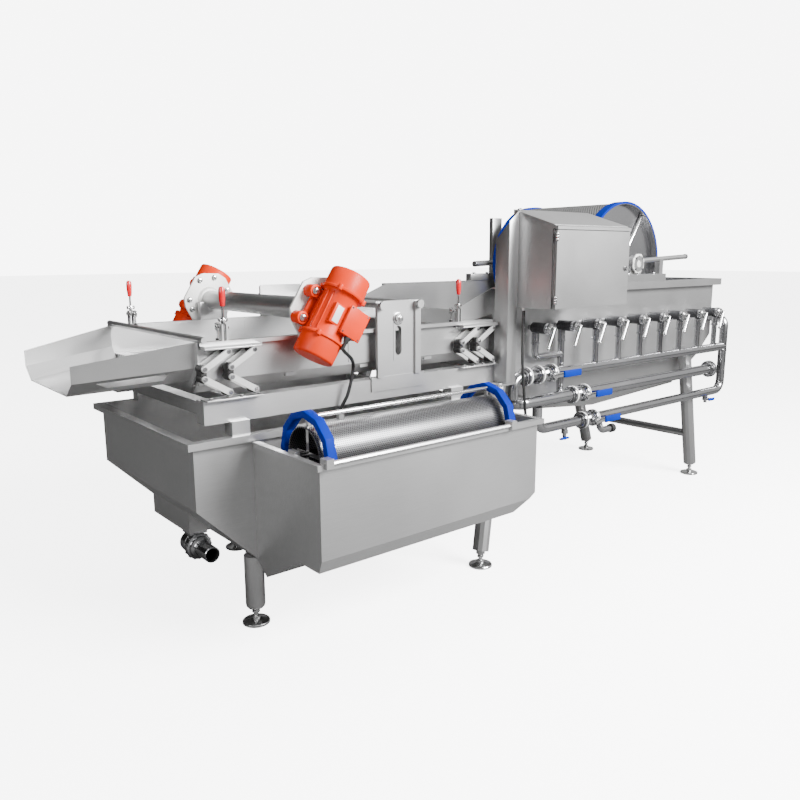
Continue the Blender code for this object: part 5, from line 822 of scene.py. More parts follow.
for sign, side in SIDES:
    build_mount("mount_" + side + "_left", 0.382, sign)
    build_mount("mount_" + side + "_right", 1.6, sign)
print("mounts dressed")

# %% [markdown]
# ## Toggle clamps
# Four vertical toggle clamps hold the screen down. The real ones are pressed plates on pins,
# with a dipped red grip. The grip is fatter in its middle, which a spun profile gives and a
# plain cylinder doesn't. The handle, links and hold-down arm swing as one on the main pivot.

# %% Clamps
CLAMP_X = (0.478, 1.612)
CLAMP_Y = 0.44
CLAMP_Z = 1.155
GRIP_LOW = CLAMP_Z + 0.074
GRIP = (
    (0, 0), (0.007, 0), (0.0085, 0.002), (0.0105, 0.02), (0.0118, 0.045), (0.011, 0.058),
    (0.0085, 0.0655), (0.004, 0.068), (0, 0.068),
)


def build_clamp(name, x, sign):
    """Grip, levers, pins and rubber tip of one clamp."""
    y = sign * CLAMP_Y
    tip = y - sign * 0.047
    body = name + "_body"
    grip, levers, pins, pad = (bmesh.new() for _ in range(4))
    add_turned(grip, GRIP, (x, y, GRIP_LOW), (0, 0, 1), 24)
    show(name + "_grip", grip, grip_red, body, [name])
    add_rod(levers, (x, y, CLAMP_Z + 0.02), (x, y, GRIP_LOW + 0.004), 0.0042, 14)
    add_box(levers, (x, y, CLAMP_Z + 0.0125), (0.0045, 0.009, 0.0215), 0.002)
    for shift in (-0.006, 0.006):
        arm = (x + shift, y - sign * 0.026, CLAMP_Z - 0.0005)
        add_box(levers, arm, (0.0015, 0.026, 0.0065), 0.001)
    add_rod(levers, (x, tip, 1.112), (x, tip, CLAMP_Z + 0.016), 0.004, 14)
    for z in (CLAMP_Z - 0.012, CLAMP_Z + 0.007):
        add_rod(levers, (x, tip, z), (x, tip, z + 0.006), 0.009, 6, soft=0.0006)
    show(name + "_levers", levers, bright_steel, body)
    for inward, up, half in ((0, 0, 0.014), (0.002, 0.026, 0.011), (0.024, 0, 0.012)):
        middle = Vector((x, y - sign * inward, CLAMP_Z + up))
        reach = Vector((half, 0, 0))
        nut = Vector((0.005, 0, 0))
        add_rod(pins, middle - reach, middle + reach, 0.0042, 14)
        add_rod(pins, middle - reach, middle - reach - nut, 0.0078, 6, soft=0.0008)
        add_rod(pins, middle + reach, middle + reach + nut, 0.0078, 6, soft=0.0008)
    show(name + "_pins", pins, bright_steel, body)
    add_rod(pad, (x, tip, 1.1026), (x, tip, 1.114), 0.008, 18, soft=0.002)
    show(name + "_tip", pad, black_rubber_and_shade, body)


for place, x in zip(("left", "right"), CLAMP_X):
    for sign, side in SIDES:
        build_clamp("clamp_" + side + "_" + place, x, sign)
print("clamps dressed")

# %% [markdown]
# ## Pipework
# Water runs in welded stainless tube. Cylinders and quarter rings could be joined piece by piece,
# but a curve with round corners and a bevel makes each run, bends and all, without a gap. Unions
# are turned rings, and a white seal shows in each joint.

# %% Pipe sizes and unions
PIPE_Y = -0.505
PIPE = 0.025
MAIN = 0.03
RISER = 0.013
UNION = 0.045
TOP_Z = 0.83
MID_Z = 0.7
LOW_Z = 0.555
WALL_Y = -0.4003
PIPE_RIGHT = 3.86
FIRST_JET = 2.136
JET_STEP = 0.2003


def jet_x(index):
    """Where a jet stands along the tank."""
    return FIRST_JET + JET_STEP * index


def add_union(steel, seal, x, z, pipe):
    """Threaded union: ring nut, liner and white seal, centred at x."""
    nut = [
        (pipe, -0.018), (UNION * 0.78, -0.018), (UNION * 0.82, -0.0165), (UNION * 0.82, -0.012),
        (UNION * 0.97, -0.0115), (UNION, -0.0095), (UNION, -0.0015), (UNION * 0.97, 0),
        (UNION * 0.86, 0.0005), (UNION * 0.86, 0.0075), (UNION * 0.93, 0.0085),
        (UNION * 0.93, 0.0125), (UNION * 0.8, 0.0135), (pipe, 0.0145),
    ]
    ring = [(pipe, 0.0004), (UNION * 0.99, 0.0006), (UNION * 0.99, 0.0074), (pipe, 0.0078)]
    add_turned(steel, nut, (x, PIPE_Y, z), (1, 0, 0), 40)
    add_turned(seal, ring, (x, PIPE_Y, z), (1, 0, 0), 40)


print("jets stand from", round(jet_x(0), 3), "to", round(jet_x(8), 3))

# %% [markdown]
# Each ball valve is built in three pieces on the real machine: a barrel between two flanges that
# four bolts hold together, with a union on either side. It is built the same way here, and a
# stem on the near side carries the lever.

# %% Ball valves
VALVES = {
    "upper": (jet_x(0), TOP_Z),
    "middle": (jet_x(1) + UNION * 1.5, MID_Z),
    "lower": (jet_x(2) - UNION, LOW_Z),
}
VALVE_BARREL = (
    (0, -0.03), (0.033, -0.03), (0.036, -0.026), (0.036, -0.014), (0.0375, -0.012),
    (0.0375, 0.012), (0.036, 0.014), (0.036, 0.026), (0.033, 0.03), (0, 0.03),
)
STEM_END = -0.5731


def add_valve(steel, seal, place, pipe=PIPE):
    """Barrel, end flanges with four bolts, unions and stem of one valve."""
    x, z = place
    add_turned(steel, VALVE_BARREL, (x, PIPE_Y, z), (1, 0, 0), 32)
    for dy, dz in around(4, 0.034, 45):
        y = PIPE_Y + dy
        add_rod(steel, (x - 0.026, y, z + dz), (x + 0.026, y, z + dz), 0.0045, 12)
        for end in (-1, 1):
            start = (x + end * 0.018, y, z + dz)
            add_rod(steel, start, (x + end * 0.027, y, z + dz), 0.0078, 6)
    for end in (-1, 1):
        start = (x + end * 0.026, PIPE_Y, z)
        add_rod(steel, start, (x + end * 0.04, PIPE_Y, z), 0.029, 32, soft=0.002)
        add_union(steel, seal, x + end * UNION * 1.1, z, pipe)
    add_rod(steel, (x, PIPE_Y - 0.03, z), (x, PIPE_Y - 0.05, z), 0.016, 6, soft=0.001)
    add_rod(steel, (x, PIPE_Y - 0.05, z), (x, STEM_END, z), 0.0105, 20)


print(len(VALVES), "valves placed")

# %% [markdown]
# Nine jets stand along the wall. Each has a thin nipple into the wall, a short knurled sleeve, a
# plain collar in front, and a riser from below with a small socket at its top. The sleeve is a
# piece of its own, because its finish differs.

# %% Jets
JET_Z = 1.05
JET_BARREL = 0.0265
JET_END = 0.5303
JET_BACK = -0.428
JET_FRONT = -0.516
NIPPLE = 0.012
TUBE = 0.0158
LINK = 0.0175
COLLAR = ((0, 0.513), (0.0285, 0.513), (0.0285, 0.5265), (0.026, JET_END), (0, JET_END))
SOCKET = (
    (TUBE * 0.9, 0.025), (TUBE * 1.2, 0.028), (TUBE * 1.2, 0.07), (TUBE * 1.36, 0.072),
    (TUBE * 1.36, 0.079), (TUBE * 1.15, 0.081), (TUBE * 0.9, 0.0815),
)


def add_jet(steel, sleeves, index, riser_y=PIPE_Y):
    """Sleeve, nipple, collar and riser socket of one jet."""
    x = jet_x(index)
    back = (x, JET_BACK, JET_Z)
    add_rod(sleeves, back, (x, JET_FRONT, JET_Z), JET_BARREL, 40, soft=0.001)
    add_rod(steel, (x, WALL_Y, JET_Z), back, NIPPLE, 20)
    add_turned(steel, COLLAR, (x, 0, JET_Z), (0, -1, 0), 40)
    add_turned(steel, SOCKET, (x, riser_y, JET_Z), (0, 0, -1), 28)


print("jets stand", JET_Z, "metres above the floor")

# %% [markdown]
# The manifold is the highest pipe. It comes up from the main pipe through the upper valve, feeds
# seven jets by straight risers, and turns up and into the wall at the tank's closed end.

# %% The manifold
pipes, seals, sleeves = bmesh.new(), bmesh.new(), bmesh.new()
left = 1.9133
run = [(left, PIPE_Y, 0.7303), (left, PIPE_Y, TOP_Z), (PIPE_RIGHT, PIPE_Y, TOP_Z)]
add_tube(pipes, rounded_run(run, 0.048), PIPE, 8)
entry_z = JET_Z - 0.0416
corner = (PIPE_RIGHT, PIPE_Y, entry_z)
run = [(PIPE_RIGHT, PIPE_Y, TOP_Z - 0.02), corner, (PIPE_RIGHT, WALL_Y, entry_z)]
add_tube(pipes, rounded_run(run, 0.05), PIPE, 8)
weld = [(PIPE, 0), (PIPE + 0.002, 0.002), (PIPE + 0.002, 0.008), (PIPE, 0.01)]
add_turned(pipes, weld, (PIPE_RIGHT, PIPE_Y, TOP_Z - 0.0295), (0, 0, 1), 32)
saddle_z = TOP_Z + PIPE
for index in range(2, 9):
    x = jet_x(index)
    add_rod(pipes, (x, PIPE_Y, TOP_Z), (x, PIPE_Y, JET_Z - 0.026), TUBE, 24)
    saddle = (x, PIPE_Y, saddle_z - 0.004)
    add_rod(pipes, saddle, (x, PIPE_Y, saddle_z + 0.004), TUBE * 1.15, 24)
    add_jet(pipes, sleeves, index)
add_valve(pipes, seals, VALVES["upper"])
add_union(pipes, seals, left + 0.085, TOP_Z, PIPE)
show("manifold_pipe", pipes, pipe_steel, "frame", ["manifold"], 40)
show("manifold_seals", seals, white_seal)
show("manifold_jet_sleeves", sleeves, knurl)
print("manifold dressed")

# %% [markdown]
# The main pipe is thicker. It leaves the collector tank, turns towards the operator and runs
# along the tank to a blind nut. The two jets nearest the deck hang on it by tubes of their own,
# which stand behind the manifold, so their sockets stand further back than the others.

# %% The main pipe with the two linked jets
pipes, seals, sleeves = bmesh.new(), bmesh.new(), bmesh.new()
tank_y = -0.276
left = 1.882 + MAIN * 2.4
right = PIPE_RIGHT - UNION * 3.3
run = [(1.6403, tank_y, MID_Z), (left, tank_y, MID_Z), (left, PIPE_Y, MID_Z)]
add_tube(pipes, rounded_run(run + [(right, PIPE_Y, MID_Z)], MAIN * 1.6), MAIN, 8)
blind_nut = [
    (MAIN, -0.014), (0.047, -0.014), (0.0515, -0.011), (0.0515, 0.002), (0.048, 0.006),
    (0.044, 0.0065), (0.04, 0.011), (0, 0.011),
]
add_turned(pipes, blind_nut, (right, PIPE_Y, MID_Z), (1, 0, 0), 40)
add_valve(pipes, seals, VALVES["middle"], MAIN)
link_y = PIPE_Y + MAIN + RISER * 2.6
link_z = TOP_Z + PIPE * 3
top = JET_Z - JET_BARREL * 0.5
run = [(jet_x(0), link_y, top), (jet_x(0), link_y, link_z), (jet_x(1), link_y, link_z)]
add_tube(pipes, rounded_run(run, RISER * 2), LINK, 6)
run = [(jet_x(1), link_y, top), (jet_x(1), link_y, MID_Z), (jet_x(1), PIPE_Y, MID_Z)]
add_tube(pipes, rounded_run(run, RISER * 2), LINK, 6)
for index in range(2):
    add_jet(pipes, sleeves, index, link_y)
show("main_pipe", pipes, pipe_steel, "frame", ["middle_pipe"], 40)
show("main_pipe_seals", seals, white_seal)
show("main_pipe_jet_sleeves", sleeves, knurl)
print("main pipe dressed")

# %% [markdown]
# The lower pipe drains the others. It starts under the main pipe, runs to the closed end and
# rises to the manifold. A bent spout with a black end and two small taps stand under it.

# %% The lower pipe, its spout and its taps
LEFT_TAP_X = jet_x(1) - UNION * 0.6
RIGHT_TAP_X = jet_x(8) - UNION
TAP_LENGTH = PIPE * 2.6
STEM_Z = LOW_Z - PIPE * 1.6
SPOUT = PIPE * 0.7
SPOUT_END = (
    (0, 0.004), (0.015, 0.004), (0.0165, 0), (0.0225, 0), (0.0235, 0.002), (0.0235, 0.0285),
    (0, 0.0285),
)
pipes, seals, spout_end = bmesh.new(), bmesh.new(), bmesh.new()
left = jet_x(0) - UNION
run = [
    (left, PIPE_Y, MID_Z - MAIN - GAP), (left, PIPE_Y, LOW_Z), (PIPE_RIGHT, PIPE_Y, LOW_Z),
    (PIPE_RIGHT, PIPE_Y, TOP_Z - PIPE - GAP),
]
add_tube(pipes, rounded_run(run, 0.06), PIPE, 8)
add_valve(pipes, seals, VALVES["lower"])
spout_x = VALVES["lower"][0] + UNION * 2
spout_y = PIPE_Y - PIPE
spout_z = LOW_Z - UNION * 1.6
bend = (spout_x, spout_y, spout_z)
run = [(spout_x, PIPE_Y, LOW_Z), bend, (spout_x + UNION * 1.7, spout_y, spout_z)]
add_tube(pipes, rounded_run(run, PIPE * 0.9), SPOUT, 8)
tap = [
    (RISER * 1.1, 0), (RISER * 1.1, 0.03), (RISER * 1.35, 0.032), (RISER * 1.35, 0.05),
    (RISER * 0.8, 0.052), (RISER * 0.8, TAP_LENGTH), (0, TAP_LENGTH),
]
for tap_x in (LEFT_TAP_X, RIGHT_TAP_X):
    add_turned(pipes, tap, (tap_x, PIPE_Y, LOW_Z), (0, 0, -1), 24)
stem = (RIGHT_TAP_X, PIPE_Y - RISER * 2.2, STEM_Z)
add_rod(pipes, (RIGHT_TAP_X, PIPE_Y, STEM_Z), stem, 0.0065, 16)
show("lower_pipe_run", pipes, pipe_steel, "frame", ["lower_pipe"], 40)
show("lower_pipe_seals", seals, white_seal)
add_turned(spout_end, SPOUT_END, (spout_x + UNION * 2.4, spout_y, spout_z), (-1, 0, 0), 32)
show("lower_pipe_spout_end", spout_end, black_rubber_and_shade)
print("lower pipe dressed")

# %% [markdown]
# ## Jet levers
# A short lever turns each nozzle. A round hub with a nut sits on the jet's end, and a thin
# straight rod leans down from it to a small ball.

# %% Jet levers
HUB = (
    (0, 0), (0.0235, 0), (0.025, 0.0015), (0.025, 0.0085), (0.0235, 0.01), (0.016, 0.0105),
    (0.015, 0.02), (0, 0.021),
)
LEVER_LEAN = Vector((-0.052, -0.036, -0.087))
for index in range(9):
    name = "jet_lever_" + str(index + 1)
    lever = bmesh.new()
    hub = Vector((jet_x(index), -JET_END - GAP, JET_Z))
    add_turned(lever, HUB, hub, (0, -1, 0), 32)
    add_stack(lever, hub.x, hub.z, hub.y - 0.02, -1, [(0.012, 0.0125, 6, 0.001)])
    tip = hub + LEVER_LEAN
    add_rod(lever, hub + Vector((0, -0.028, 0.004)), tip, 0.0062, 16)
    place = Matrix.Translation(tip)
    bmesh.ops.create_uvsphere(lever, u_segments=16, v_segments=10, radius=0.0095, matrix=place)
    show(name + "_rod", lever, bright_steel, name + "_body", [name])
print("jet levers dressed")

# %% [markdown]
# ## Valve levers and tap handles
# A ball valve's lever is pressed from stainless strip and dipped in blue plastic. The sleeve is
# a softened block, and the strip shows only near the stem, where a nut holds it. The taps have a
# short wing of the same blue.

# %% Valve levers and tap handles
LEVER_BACK = STEM_END - GAP
LEVER_NUT = ((0.005, 0.0155, 24, 0.001), (0.0068, 0.0115, 6, 0.001))
WING_HUB = [(0.018, 0.009, 20, 0.001)]
WING_HALF = 0.0335
for level, (x, z) in VALVES.items():
    name = "valve_lever_" + level
    body = name + "_body"
    strip, sleeve = bmesh.new(), bmesh.new()
    y = LEVER_BACK
    add_stack(strip, x, z, y, -1, LEVER_NUT)
    add_block(strip, (x - 0.016, y - 0.0065, z - 0.0115), (x + 0.08, y - 0.0028, z + 0.0115), 0.001)
    show(name + "_strip", strip, bright_steel, body, [name])
    add_block(sleeve, (x + 0.058, y - 0.0116, z - 0.017), (x + 0.19, y + 0.0022, z + 0.017), 0.0055)
    show(name + "_sleeve", sleeve, sleeve_blue, body)

wing = bmesh.new()
top = LOW_Z - TAP_LENGTH - GAP
add_rod(wing, (LEFT_TAP_X, PIPE_Y, top), (LEFT_TAP_X, PIPE_Y, top - 0.018), 0.009, 20, soft=0.001)
add_box(wing, (LEFT_TAP_X, PIPE_Y, top - 0.012), (WING_HALF, 0.009, 0.005), 0.004)
name = "tap_handle_left"
show(name + "_wing", wing, sleeve_blue, name + "_body", [name])
wing = bmesh.new()
back = stem[1] - GAP
add_stack(wing, RIGHT_TAP_X, STEM_Z, back, -1, WING_HUB)
add_box(wing, (RIGHT_TAP_X, back - 0.012, STEM_Z), (WING_HALF, 0.005, 0.009), 0.004)
name = "tap_handle_right"
show(name + "_wing", wing, sleeve_blue, name + "_body", [name])
print("levers dressed")

# %% [markdown]
# ## Immersion drum
# Both drums are round shells of punched sheet, so their UV map has to count the holes round the
# shell and along it. An unwrap would stretch it, but the angle about the axis times the radius is
# the true distance round. The angle jumps once in a turn, so each face takes the angles that lie
# nearest its own middle, and no face tears there.

# %% Holes on a round shell
def cover_with_holes(piece, pitch, centre, axis):
    """Give a round shell a UV map that counts holes round and along it."""
    mesh = piece.data
    layer = mesh.uv_layers.new(name="holes")
    for polygon in mesh.polygons:
        middle = polygon.center - centre
        first = math.atan2(middle.z, middle[1 - axis])
        for loop in polygon.loop_indices:
            spot = mesh.vertices[mesh.loops[loop].vertex_index].co - centre
            angle = math.atan2(spot.z, spot[1 - axis])
            angle += math.tau * round((first - angle) / math.tau)
            radius = math.hypot(spot.z, spot[1 - axis])
            layer.data[loop].uv = (spot[axis] / pitch, angle * radius / pitch)


print("hole map ready for round shells")

# %% [markdown]
# The drum that pushes the vegetables under water is a shell between two blue hoops, closed by
# two recessed discs. Each disc carries a stiffening spoke and the shaft. A spun profile gives
# every ring its true thickness, which a plain tube wouldn't.

# %% Immersion drum
DRUM_X = 2.99034
DRUM_Z = 1.35
DRUM = Vector((DRUM_X, 0, DRUM_Z))
DRUM_PITCH = 0.0155
DRUM_SHELL = ((0.326, -0.3), (0.33, -0.3), (0.33, 0.3), (0.326, 0.3), (0.326, -0.3))
DRUM_HOOP = (
    (0.326, 0.295), (0.337, 0.295), (0.338, 0.296), (0.338, 0.344), (0.337, 0.345),
    (0.327, 0.345), (0.326, 0.344), (0.326, 0.295),
)
DRUM_DISC = ((0, 0.306), (0.3262, 0.306), (0.3262, 0.344), (0.323, 0.344), (0.323, 0.31), (0, 0.31))
SPOKE_LEAN = 0.6
SPOKE_REACH = 0.322
shell, hoops, discs, spokes = (bmesh.new() for _ in range(4))
add_turned(shell, DRUM_SHELL, DRUM, (0, 1, 0), 96)
piece = show("immersion_drum_shell", shell, drum_sheet, "drum", ["immersion_drum"])
cover_with_holes(piece, DRUM_PITCH, ORIGIN + DRUM, 1)
spoke = Vector((math.sin(SPOKE_LEAN), 0, math.cos(SPOKE_LEAN))) * SPOKE_REACH
for sign in (-1, 1):
    add_turned(hoops, DRUM_HOOP, DRUM, (0, sign, 0), 96)
    add_turned(discs, DRUM_DISC, DRUM, (0, sign, 0), 96)
    centre = DRUM + Vector((0, sign * 0.317, 0))
    add_rod(spokes, centre, centre + spoke, 0.0115, 4, soft=0.0015)
    add_stack(spokes, DRUM_X, DRUM_Z, sign * 0.309, sign, [(0.025, 0.045, 32, 0.003)])
add_rod(spokes, (DRUM_X, -0.435, DRUM_Z), (DRUM_X, 0.435, DRUM_Z), 0.02, 32, soft=0.002)
show("immersion_drum_hoops", hoops, hoop_blue, "drum")
show("immersion_drum_discs", discs, pipe_steel, "drum")
show("immersion_drum_spokes", spokes, bright_steel, "drum")
print("immersion drum dressed")

# %% [markdown]
# ## Filter drum
# The rotary filter is a smaller punched shell between two faceted blue hoops, with a bright bar
# near the top. The hoops have twelve flat sides, so their profile is spun in only twelve steps.

# %% Filter drum and hoops
FILTER_Y = -0.725122
FILTER_Z = 0.732
FILTER_SPAN = (0.613, 1.519)
FILTER_PITCH = 0.008
HOOP_WIDTH = 0.036
HOOP = ((0.128, 0), (0.154, 0), (0.154, HOOP_WIDTH), (0.128, HOOP_WIDTH), (0.128, 0))
FILTER_SPOKE = 0.129
BAR_RADIUS = 0.137
BAR_TURN = math.radians(100)
shell, spokes, bar = (bmesh.new() for _ in range(3))
first, last = FILTER_SPAN
span = last - first
profile = [(0.094, 0), (0.098, 0), (0.098, span), (0.094, span), (0.094, 0)]
add_turned(shell, profile, (first, FILTER_Y, FILTER_Z), (1, 0, 0), 72)
piece = show("filter_drum_shell", shell, shaded_filter_sheet, "filter", ["filter_drum"])
cover_with_holes(piece, FILTER_PITCH, ORIGIN + Vector((0, FILTER_Y, FILTER_Z)), 0)
add_rod(spokes, (0.568, FILTER_Y, FILTER_Z), (1.62, FILTER_Y, FILTER_Z), 0.012, 24)
for x in (first + HOOP_WIDTH / 2, last - HOOP_WIDTH / 2):
    add_box(spokes, (x, FILTER_Y, FILTER_Z), (0.002, FILTER_SPOKE, 0.008))
    add_box(spokes, (x, FILTER_Y, FILTER_Z), (0.002, 0.008, FILTER_SPOKE))
show("filter_drum_spokes", spokes, bright_steel, "filter")
for side, x in (("left", first), ("right", last - HOOP_WIDTH)):
    hoop = bmesh.new()
    add_turned(hoop, HOOP, (x, FILTER_Y, FILTER_Z), (1, 0, 0), 12)
    soften(hoop, list(hoop.edges), 0.0022)
    name = "filter_hoop_" + side
    show(name + "_ring", hoop, hoop_blue, "filter", [name])
bar_y = FILTER_Y + BAR_RADIUS * math.cos(BAR_TURN)
bar_z = FILTER_Z + BAR_RADIUS * math.sin(BAR_TURN)
add_rod(bar, (0.6493, bar_y, bar_z), (1.4827, bar_y, bar_z), 0.0075, 28)
show("filter_bar_rod", bar, bright_steel, "filter", ["filter_bar"])
print("filter dressed")

# %% [markdown]
# ## Drain valve
# The drain is lathe work, so a spun profile is the natural way. Thin rods let into its union
# ring make the knurl that a hand grips, and a second profile lines the bore in black, as painted
# shade for the dark inside it.

# %% Drain valve
DRAIN = Vector((0.5155, -0.015, 0.219))
DRAIN_REAR = DRAIN + Vector((0, 0.0585, 0))
DRAIN_BODY = (
    (0, 0), (0.04, 0), (0.045, 0.004), (0.045, 0.03), (0.0475, 0.032), (0.0475, 0.05),
    (0.045, 0.052), (0.045, 0.066), (0.0535, 0.068), (0.055, 0.071), (0.055, 0.094),
    (0.0535, 0.097), (0.046, 0.099), (0.044, 0.113), (0.036, 0.117), (0.033, 0.121),
    (0.033, 0.215), (0.0315, 0.217), (0.0285, 0.217), (0.0284, 0.12), (0, 0.119),
)
DRAIN_BORE_SHADE = (
    (0, 0.122), (0.0282, 0.122), (0.0282, 0.212), (0.0262, 0.212), (0.0262, 0.126), (0, 0.126),
)
drain, bore = bmesh.new(), bmesh.new()
add_turned(drain, DRAIN_BODY, DRAIN_REAR, (0, -1, 0), 48)
for dx, dz in around(16, 0.0545):
    add_stack(drain, DRAIN.x + dx, DRAIN.z + dz, DRAIN.y - 0.0345, 1, [(0.022, 0.004, 8, 0)])
add_rod(drain, DRAIN, (DRAIN.x, DRAIN.y, 0.278), 0.0305, 32)
add_box(drain, (DRAIN.x, DRAIN.y, 0.2781), (0.038, 0.038, 0.0056), 0.001)
show("drain_valve_body", drain, pipe_steel, "frame", ["drain_valve"])
# A black cup inside the outlet: painted shade for the dark inside the bore.
add_turned(bore, DRAIN_BORE_SHADE, DRAIN_REAR, (0, -1, 0), 40)
show("drain_valve_bore_shade", bore, black_rubber_and_shade)
print("drain dressed")

# %% [markdown]
# ## Levelling feet
# A foot has a dished disc, a ball neck, a nut and a spindle. All but the nut are one profile.
# Each stands where its solid stands, read from the box of the node.

# %% Levelling feet
FOOT = (
    (0, 0), (0.05, 0), (0.053, 0.002), (0.0535, 0.005), (0.0535, 0.0095), (0.0515, 0.012),
    (0.046, 0.0135), (0.045, 0.0125), (0.03, 0.0165), (0.022, 0.019), (0.0165, 0.02),
    (0.0165, 0.029), (0.0135, 0.031), (0.009, 0.0325), (0.009, 0.0607), (0, 0.0607),
)


def box_of(name):
    """The low and high corner of a node's box, in the drawing."""
    return [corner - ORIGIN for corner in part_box(name)]


for name in sorted(name for name in nodes if name.startswith("foot_")):
    low, high = box_of(name)
    x, y = ((low + high) / 2).xy
    foot = bmesh.new()
    add_turned(foot, FOOT, (x, y, 0), (0, 0, 1), 48)
    add_rod(foot, (x, y, 0.043), (x, y, 0.052), 0.0155, 6, soft=0.001)
    show(name + "_turned", foot, bright_steel, "frame", [name])
print("feet dressed")

# %% [markdown]
# ## Upright legs
# The two legs under the collector are tubes with a rounded, drawn-in end above the foot. The
# small block at the top is the tab that meets the tank.

# %% Upright legs
LEG = 0.038
for side in ("near", "far"):
    name = "leg_" + side + "_left"
    low, high = box_of(name)
    foot_low, foot_high = box_of("foot_" + side + "_left")
    x, y = ((foot_low + foot_high) / 2).xy
    leg = bmesh.new()
    profile = [
        (0, low.z), (LEG * 0.5, low.z), (LEG * 0.8, low.z + 0.0045), (LEG * 0.95, low.z + 0.012),
        (LEG, low.z + 0.021), (LEG, high.z), (0, high.z),
    ]
    add_turned(leg, profile, (x, y, 0), (0, 0, 1), 48)
    add_block(leg, (x - LEG * 0.3, low.y, high.z - 0.004), high, 0.0005)
    show(name + "_tube", leg, upright_steel, "frame", [name])
print("upright legs dressed")

# %% [markdown]
# ## Bearings of the immersion drum
# On the far side a beam carries a post, the bearing and a short lifting bar. It differs from its
# solid, which mirrors the near side, so it is built anew from blocks and rods.

# %% The far beam
FAR_BAR_END = Vector((2.558, 0.4098, 1.347))
FAR_BLOCKS = (
    ((2.512, 0.388, 1.2503), (3.078, 0.4315, 1.29)),
    ((2.706, 0.3998, 1.2893), (2.784, 0.4298, 1.6205)),
    ((DRUM_X - 0.052, 0.4, 1.2893), (DRUM_X + 0.052, 0.4198, DRUM_Z)),
    ((2.79, 0.394, 1.2893), (2.825, 0.426, 1.352)),
)
bracket = bmesh.new()
for low, high in FAR_BLOCKS:
    add_block(bracket, low, high, 0.0012)
add_rod(bracket, (DRUM_X, 0.391, DRUM_Z), (DRUM_X, 0.4415, DRUM_Z), 0.044, 40, soft=0.0015)
add_rod(bracket, (DRUM_X - 0.035, 0.4098, DRUM_Z + 0.014), FAR_BAR_END, 0.0172, 28)
show("drum_bracket_far_beam", bracket, upright_steel, "frame", ["drum_bracket_far"])
print("far beam dressed")

# %% [markdown]
# A cast plate with eight sides holds the shaft in each beam. Four screws hold the plate, four
# more hold the beam, and a dark ring in the lifting bar's open end is painted shade for its
# hollow inside.

# %% Bearings and lifting bars' ends
BAR_END = {-1: (DRUM_X + 0.53, DRUM_Z + 0.0364, 0.015), 1: (2.558, 1.347, 0.0172)}
BAR_Y = (0.388 + 0.4315) / 2
BEAM_LENGTH = {-1: 0.38, 1: 0.56}
BEAM_SCREWS = (0.08, 0.3, 0.72, 0.92)
for sign, side in SIDES:
    bearing, screws, cap = (bmesh.new() for _ in range(3))
    corners = [(DRUM_X + dx, sign * 0.4301, DRUM_Z + dz) for dx, dz in around(8, 0.056, 22.5)]
    add_plate(bearing, flat_face(bearing, corners), sign * 0.008)
    soften(bearing, list(bearing.edges), 0.0015)
    show("drum_bearing_" + side, bearing, cast_grey)
    for dx, dz in around(4, 0.041, 45):
        spot = (DRUM_X + dx, DRUM_Z + dz)
        add_stack(screws, *spot, sign * 0.438, sign, [(0.0055, 0.007, 6, 0.0006)])
    for share in BEAM_SCREWS:
        x = DRUM_X + sign * (0.088 - BEAM_LENGTH[sign] * share)
        y = sign * 0.415
        add_rod(screws, (x, y, 1.289), (x, y, 1.298), 0.0095, 6, soft=0.0008)
    show("drum_bearing_bolts_" + side, screws, dark_steel_and_shade)
    x, z, bar = BAR_END[sign]
    # A dark cap in the bar's open end: painted shade for its hollow inside.
    ring = [
        (0, 0.003), (bar * 0.7, 0.003), (bar * 0.73, 0), (bar * 0.97, 0), (bar, 0.001),
        (bar, 0.016), (0, 0.016),
    ]
    add_turned(cap, ring, (x - sign * 0.0006, sign * BAR_Y, z), (sign, 0, 0), 24)
    show("lifting_bar_end_shade_" + side, cap, dark_steel_and_shade)
print("bearings dressed")

# %% [markdown]
# ## Column
# The column beside the deck is folded sheet with a slanting top. Cutting a block with a plane
# would do, but lowering the block's top corners, at the back and at the outfeed end, is simpler.
# Its folds are rounded afterwards.

# %% Column
BACK_DROP = 0.08
OUTFEED_DROP = 0.05
low, high = box_of("column")
middle = (low + high) / 2
column = bmesh.new()
add_block(column, low, high)
for vert in column.verts:
    if vert.co.z > middle.z:
        vert.co.z -= BACK_DROP if vert.co.y > middle.y else 0
        vert.co.z -= OUTFEED_DROP if vert.co.x < middle.x else 0
soften(column, list(column.edges), 0.0015)
show("column_sheet", column, upright_steel, "frame", ["column"])
print("column dressed")

# %% [markdown]
# ## Cabinet fittings
# The cabinet's sheet keeps its solid. What a hand or an eye looks for is added: a quarter-turn
# lock, two hinges of three knuckles and a bolt on the roof. A dark strip round the door is
# painted shade in the door's gap.

# %% Cabinet fittings
HINGE_STEPS = (0.02, 0.29)
KNUCKLE = 0.0115
SEAM = 0.0004
GAP_SHADE = 0.005
LOCK = (
    (0, 0), (0.0115, 0), (0.0115, 0.0005), (0.0095, 0.0012), (0.0055, 0.0012), (0.005, 0.0002),
    (0, 0.0002),
)
lock, hinges, gap_shade, bolt = (bmesh.new() for _ in range(4))
low, high = box_of("cabinet_door")
lock_place = (high.x - 0.028, low.y + 0.0004, (low.z + high.z) / 2)
add_turned(lock, LOCK, lock_place, (0, -1, 0), 32)
show("cabinet_lock", lock, pipe_steel, "door")
x, y = low.x + 0.0048, low.y + 0.0052
for step in HINGE_STEPS:
    for k in range(3):
        z = low.z + step + KNUCKLE * k
        add_rod(hinges, (x, y, z), (x, y, z + 0.0108), 0.0064, 20, soft=0.0005)
show("cabinet_hinges", hinges, bright_steel, "door")
